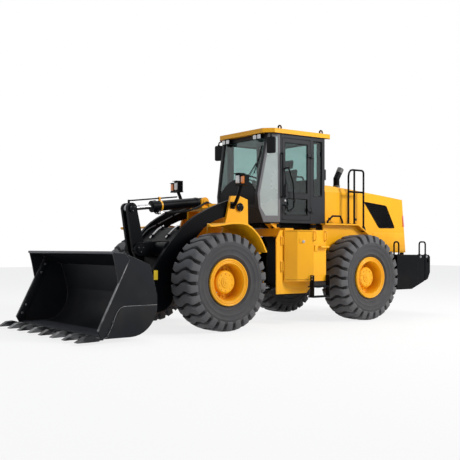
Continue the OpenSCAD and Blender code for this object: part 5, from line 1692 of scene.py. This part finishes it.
def pin_cap(name, point, y, side, r, body):
    """Round keeper plate with three bolts on the end of a pin."""
    x, z = point
    profile = [(0, r), (8, r), (11, r - 4), (11, 0.45 * r), (15, 0.4 * r), (15, 4)]
    finish_piece(lathe(name, (x, y, z), (x, y + side * 50, z), profile, 32), body, BLACK)
    heads = []
    for turn in even_turns(3):
        t = turn + 0.5
        place = at(x + 0.72 * r * math.cos(t), y + side * 11, z + 0.72 * r * math.sin(t))
        heads.append((place, (0, side, 0)))
    bolts(name + "_bolts", heads, 7, 6, body, IRON)


def boom_trim():
    """Pin caps, tube welds, pipes and blank reflectors on the boom; the reflectors' glow is painted light."""
    bead = [(0, 119), (0, 136), (6, 134), (18, 121)]
    run = [(1150, 2050), (1450, 1930), (1800, 1765), (1980, 1680), (2110, 1560), (2190, 1442)]
    for side, hand in SIDES:
        pin_cap("boom_pin_cap_" + hand, BOOM_PIVOT, side * 708, side, 74, "front")
        pin_cap("bucket_pin_cap_" + hand, BUCKET_PIN, side * 692, side, 76, "bucket_pins")
        pin_cap("crank_pin_cap_" + hand, CRANK_PIVOT, side * 183, side, 70, "bellcrank_pin")
        pin_cap("crank_top_cap_" + hand, CRANK_TOP, side * 129, side, 60, "bellcrank")
        collar = lathe("tube_weld_" + hand, (2230, side * 556, 1330), (2230, side * 400, 1330), bead, 40)
        finish_piece(collar, "boom", BLACK)
        place = (2560, side * 630, 915)
        # Blank reflector whose faint glow is painted light
        reflector = domed_plate("boom_reflector_" + hand, place, (-side, 0, 0), (0, 0, 1), (38, 76), 8, 2, 1)
        finish_piece(reflector, "boom", GLOWING_REFLECTOR)
        path = smooth_path([at(x, side * 540, z) for x, z in run], 6)
        finish_piece(tube("boom_pipe_" + hand, path, 11, 10), "boom", IRON)
        for i, (x, z) in enumerate(run[1:3]):
            name = "boom_clip_" + hand + "_" + str(i + 1)
            clip = side_block(name, side, (x - 22, 526, z - 18), (x + 22, 560, z + 18), 6)
            finish_piece(clip, "boom", BLACK)


def boom_plates():
    """Cross plates between the arms above and below the cross tube, and the web inside the bellcrank."""
    upper = [(2160, 1446), (1950, 1622), (1790, 1686), (1796, 1704), (1962, 1640), (2174, 1462)]
    finish_piece(prism("boom_upper_plate", upper, -561, 561), "boom", BLACK)
    lower = [(2214, 1214), (2258, 1010), (2278, 1014), (2236, 1214)]
    finish_piece(prism("boom_lower_plate", lower, -561, 561), "boom", BLACK)
    web = [(2662, 1868), (2606, 1480), (2576, 1484), (2632, 1872)]
    finish_piece(prism("bellcrank_web", web, -56, 56), "bellcrank", BLACK)
    for side, hand in SIDES:
        run = [at(x, side * 250, z + 26) for x, z in ((2130, 1492), (1960, 1646), (1840, 1704))]
        pipe = tube("boom_line_" + hand, smooth_path(run, 5), 17, 12)
        finish_piece(pipe, "boom", STEEL)
        for i, (x, z) in enumerate(((2080, 1540), (1880, 1684))):
            name = "line_clip_" + hand + "_" + str(i + 1)
            clip = side_block(name, side, (x - 20, 222, z - 24), (x + 20, 278, z + 44), 6)
            finish_piece(clip, "boom", BLACK)


def bucket_arc(r):
    """Side-view points round the bucket's floor at a radius, from its back down to its lowest point."""
    turns = [math.pi + math.pi / 2 * k / 12 for k in range(13)]
    return [(3520 + r * math.cos(t), 515 + r * math.sin(t)) for t in turns]


def bucket_sides():
    """Wear plates, bright front edge strips as a painted highlight, welds and bolts on the sides of the
    bucket.
    """
    front = [(3965, 68), (3905, 96), (3850, 190), (3808, 280)]
    front += [(3780, 360), (3740, 440), (3690, 492), (3630, 515)]
    # Bright strip on the side plates' front edges: a painted highlight where the edge catches the light
    edge_highlight = [(4036, 176), (4052, 180), (3547, 1178), (3531, 1172)]
    inner_edge = [(4030, 182), (3536, 1160), (3440, 1112), (3920, 126)]
    inside = [(3970, 96)] + bucket_arc(419)[::-1] + [(3101, 650), (3222, 1070), (3600, 1232)]
    for side, hand in SIDES:
        plate = side_prism("side_wear_plate_" + hand, bucket_arc(447) + front, side, 1480, WEAR_FACE)
        finish_piece(rounded(plate, 2.5, 2, 25), "bucket", BUCKET_BLACK)
        # Painted highlight along the front edge of the side plate
        strip = side_prism("side_edge_" + hand, edge_highlight, side, 1450, 1482)
        finish_piece(rounded(strip, 3), "bucket", WORN_STEEL_AND_HIGHLIGHT)
        path = smooth_path([at(x, side * 1450, z) for x, z in inside], 2)
        finish_piece(tube("bucket_weld_" + hand, path, 9, 8), "bucket", BUCKET_BLACK)
        rim = [at(x, side * WEAR_FACE, z) for x, z in [(3078, 515)] + front[::-1]]
        finish_piece(tube("wear_plate_weld_" + hand, rim, 4.5, 8), "bucket", WORN_STEEL_AND_HIGHLIGHT)
        strip = side_prism("inner_edge_" + hand, inner_edge, side, 1440, 1453)
        finish_piece(rounded(strip, 3), "bucket", BUCKET_BLACK)
        rows = ((3950, 240), (3880, 380), (3600, 930), (3530, 1070))
        heads = [(at(x, side * 1440, z), (0, -side, 0)) for x, z in rows]
        bolts("inner_edge_bolts_" + hand, heads, 15, 10, "bucket", STEEL)
        rows = ((3900, 110), (3856, 200), (3816, 290))
        heads = [(at(x, side * WEAR_FACE, z), (0, side, 0)) for x, z in rows]
        bolts("side_wear_bolts_" + hand, heads, 14, 9, "bucket", BUCKET_BLACK)


def bucket_trim():
    """Sides, lip roll, floor liner, edge bolts and back ribs of the bucket."""
    bucket_sides()
    lip = tube("lip_roll", [at(3806, y, 1283) for y in (-1476, 0, 1476)], 21, 16)
    finish_piece(lip, "bucket", FLOOR_STEEL)
    liner = rounded(block("floor_liner", (3540, -1448, 93), (3956, 1448, 97)), 1.2, 1)
    finish_piece(liner, "bucket", FLOOR_STEEL)
    heads = []
    pitch = 2850 / 7
    for k in range(7):
        middle = -1425 + pitch * (k + 0.5)
        heads += [(at(4040, middle + d, 86), (0, 0, 1)) for d in (-80, 80)]
    bolts("edge_bolts", heads, 20, 14, "bucket", WORN_STEEL_AND_HIGHLIGHT)
    outline = [(3082, 660), (3208, 1107), (3570, 1248), (3480, 1278), (3160, 1150), (3042, 690)]
    for k, y in enumerate((-900, -300, 300, 900)):
        rib = prism("back_rib_" + str(k + 1), outline, y - 9, y + 9)
        finish_piece(rib, "bucket", BUCKET_BLACK)


def hinge_hoses():
    """Hose bundle that crosses the steering hinge between a bulkhead on each half of the machine."""
    for body, x, half, low, high in (("rear", -345, 151, 1430, 1540), ("front", 470, 291, 1392, 1468)):
        plate = rounded(block("hose_bulkhead_" + body, (x, -half, low), (x + 15, half, high)), 3)
        finish_piece(plate, body, BLACK)
    # Points along a hose: x, share of the hose's y, z
    rows = [(-335, 0.8, 1496), (-200, 0.86, 1500), (-90, 0.92, 1488), (0, 1, 1466)]
    rows += [(90, 1.04, 1450), (190, 1.1, 1444), (300, 1.15, 1442), (475, 1.2, 1442)]
    for k in range(6):
        y = -120 + 48 * k
        drop = 12 * (k % 2)
        route = [at(x, share * y, z - drop) for x, share, z in rows]
        hose = tube("hinge_hose_" + str(k + 1), smooth_path(route, 6), 15, 12)
        hose.data.materials.append(SEAL_RUBBER)
        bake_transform(hose)


def front_body():
    tilt_cylinder()
    lift_cylinders()
    boom_trim()
    boom_plates()
    bucket_trim()
    hinge_hoses()


# Stage: floor, light and camera


def camera():
    forward = Vector(
        (
            -math.sin(CAMERA_YAW) * math.cos(CAMERA_PITCH),
            -math.cos(CAMERA_YAW) * math.cos(CAMERA_PITCH),
            math.sin(CAMERA_PITCH),
        )
    )
    right = Vector((-math.cos(CAMERA_YAW), math.sin(CAMERA_YAW), 0))
    up = right.cross(forward)
    data = bpy.data.cameras.new("photo_view")
    data.sensor_width = SENSOR_MM
    data.lens = FOCAL_PX / FRAME_PX * SENSOR_MM
    data.shift_x = (FRAME_PX / 2 - CENTRE_PX[0]) / FRAME_PX
    data.shift_y = (CENTRE_PX[1] - FRAME_PX / 2) / FRAME_PX
    data.clip_end = 200
    obj = bpy.data.objects.new("photo_view", data)
    turn = Matrix((right, up, -forward)).transposed().to_4x4()
    obj.matrix_world = Matrix.Translation(at(*CAMERA_POINT)) @ turn
    bpy.context.scene.collection.objects.link(obj)
    bpy.context.scene.camera = obj


def seen_directly(tree):
    """1 for what the camera, a mirror or glass sees, and 0 for light that falls on the object."""
    path = tree.nodes.new("ShaderNodeLightPath").outputs
    camera_or_gloss = reckon(tree, "MAXIMUM", path["Is Camera Ray"], path["Is Glossy Ray"])
    return reckon(tree, "MAXIMUM", camera_or_gloss, path["Is Transmission Ray"])


def show_either(tree, mask, lit, seen, output):
    """One shader for light on the object and another for what is seen, by a mask."""
    mix = tree.nodes.new("ShaderNodeMixShader")
    for socket, target in zip((mask, lit.outputs[0], seen.outputs[0]), mix.inputs):
        tree.links.new(socket, target)
    tree.links.new(mix.outputs[0], tree.nodes.new(output).inputs[0])


def sky():
    world = bpy.data.worlds.new("white_room")
    bpy.context.scene.world = world
    world.use_nodes = True
    tree = world.node_tree
    tree.nodes.clear()
    white = put(tree, "ShaderNodeBackground", Color=(1, 1, 1, 1), Strength=1.0)
    soft = put(tree, "ShaderNodeBackground", Color=(0.93, 0.96, 1, 1), Strength=0.38)
    show_either(tree, seen_directly(tree), soft, white, "ShaderNodeOutputWorld")


def floor():
    """A floor lit by the lamps, and mostly plain white to the camera, so a soft shadow is left."""
    size = 40
    corners = [(-size, -size, 0), (size, -size, 0), (size, size, 0), (-size, size, 0)]
    obj = add_mesh("floor", corners, [(0, 1, 2, 3)])
    obj.location.z = -0.001
    material = bpy.data.materials.new("white_floor")
    material.use_nodes = True
    tree = material.node_tree
    tree.nodes.clear()
    matt = put(tree, "ShaderNodeBsdfDiffuse", Color=(0.86, 0.86, 0.86, 1))
    white = put(tree, "ShaderNodeEmission", Color=(1, 1, 1, 1), Strength=1.0)
    show_either(tree, times(tree, seen_directly(tree), 0.8), matt, white, "ShaderNodeOutputMaterial")
    obj.data.materials.append(material)


def lamp(name, point, aim, size, watts, colour=(1, 1, 1)):
    data = bpy.data.lights.new(name, "AREA")
    data.shape = "DISK"
    data.size = size
    data.energy = watts
    data.color = colour
    obj = bpy.data.objects.new(name, data)
    obj.location = point
    obj.rotation_euler = (Vector(aim) - Vector(point)).to_track_quat("-Z", "Y").to_euler()
    bpy.context.scene.collection.objects.link(obj)


def lamps():
    """A large key light high on the picture's right, a weak one on its left and one over the rear."""
    lamp("key", (-7.5, 12.0, 9.5), (0, 0, 1.2), 5.0, 1950, (1, 0.98, 0.95))
    lamp("fill", (13.0, 5.0, 6.0), (1.0, 0, 1.0), 7.0, 140, (0.95, 0.97, 1))
    lamp("top", (-2.0, -3.0, 12.0), (0, 0, 1.0), 6.0, 500)


def main():
    bpy.context.scene.view_settings.view_transform = "Standard"
    camera()
    sky()
    floor()
    lamps()
    paint_solids()
    wheels()
    cab()
    hood()
    rear_body()
    front_body()


main()
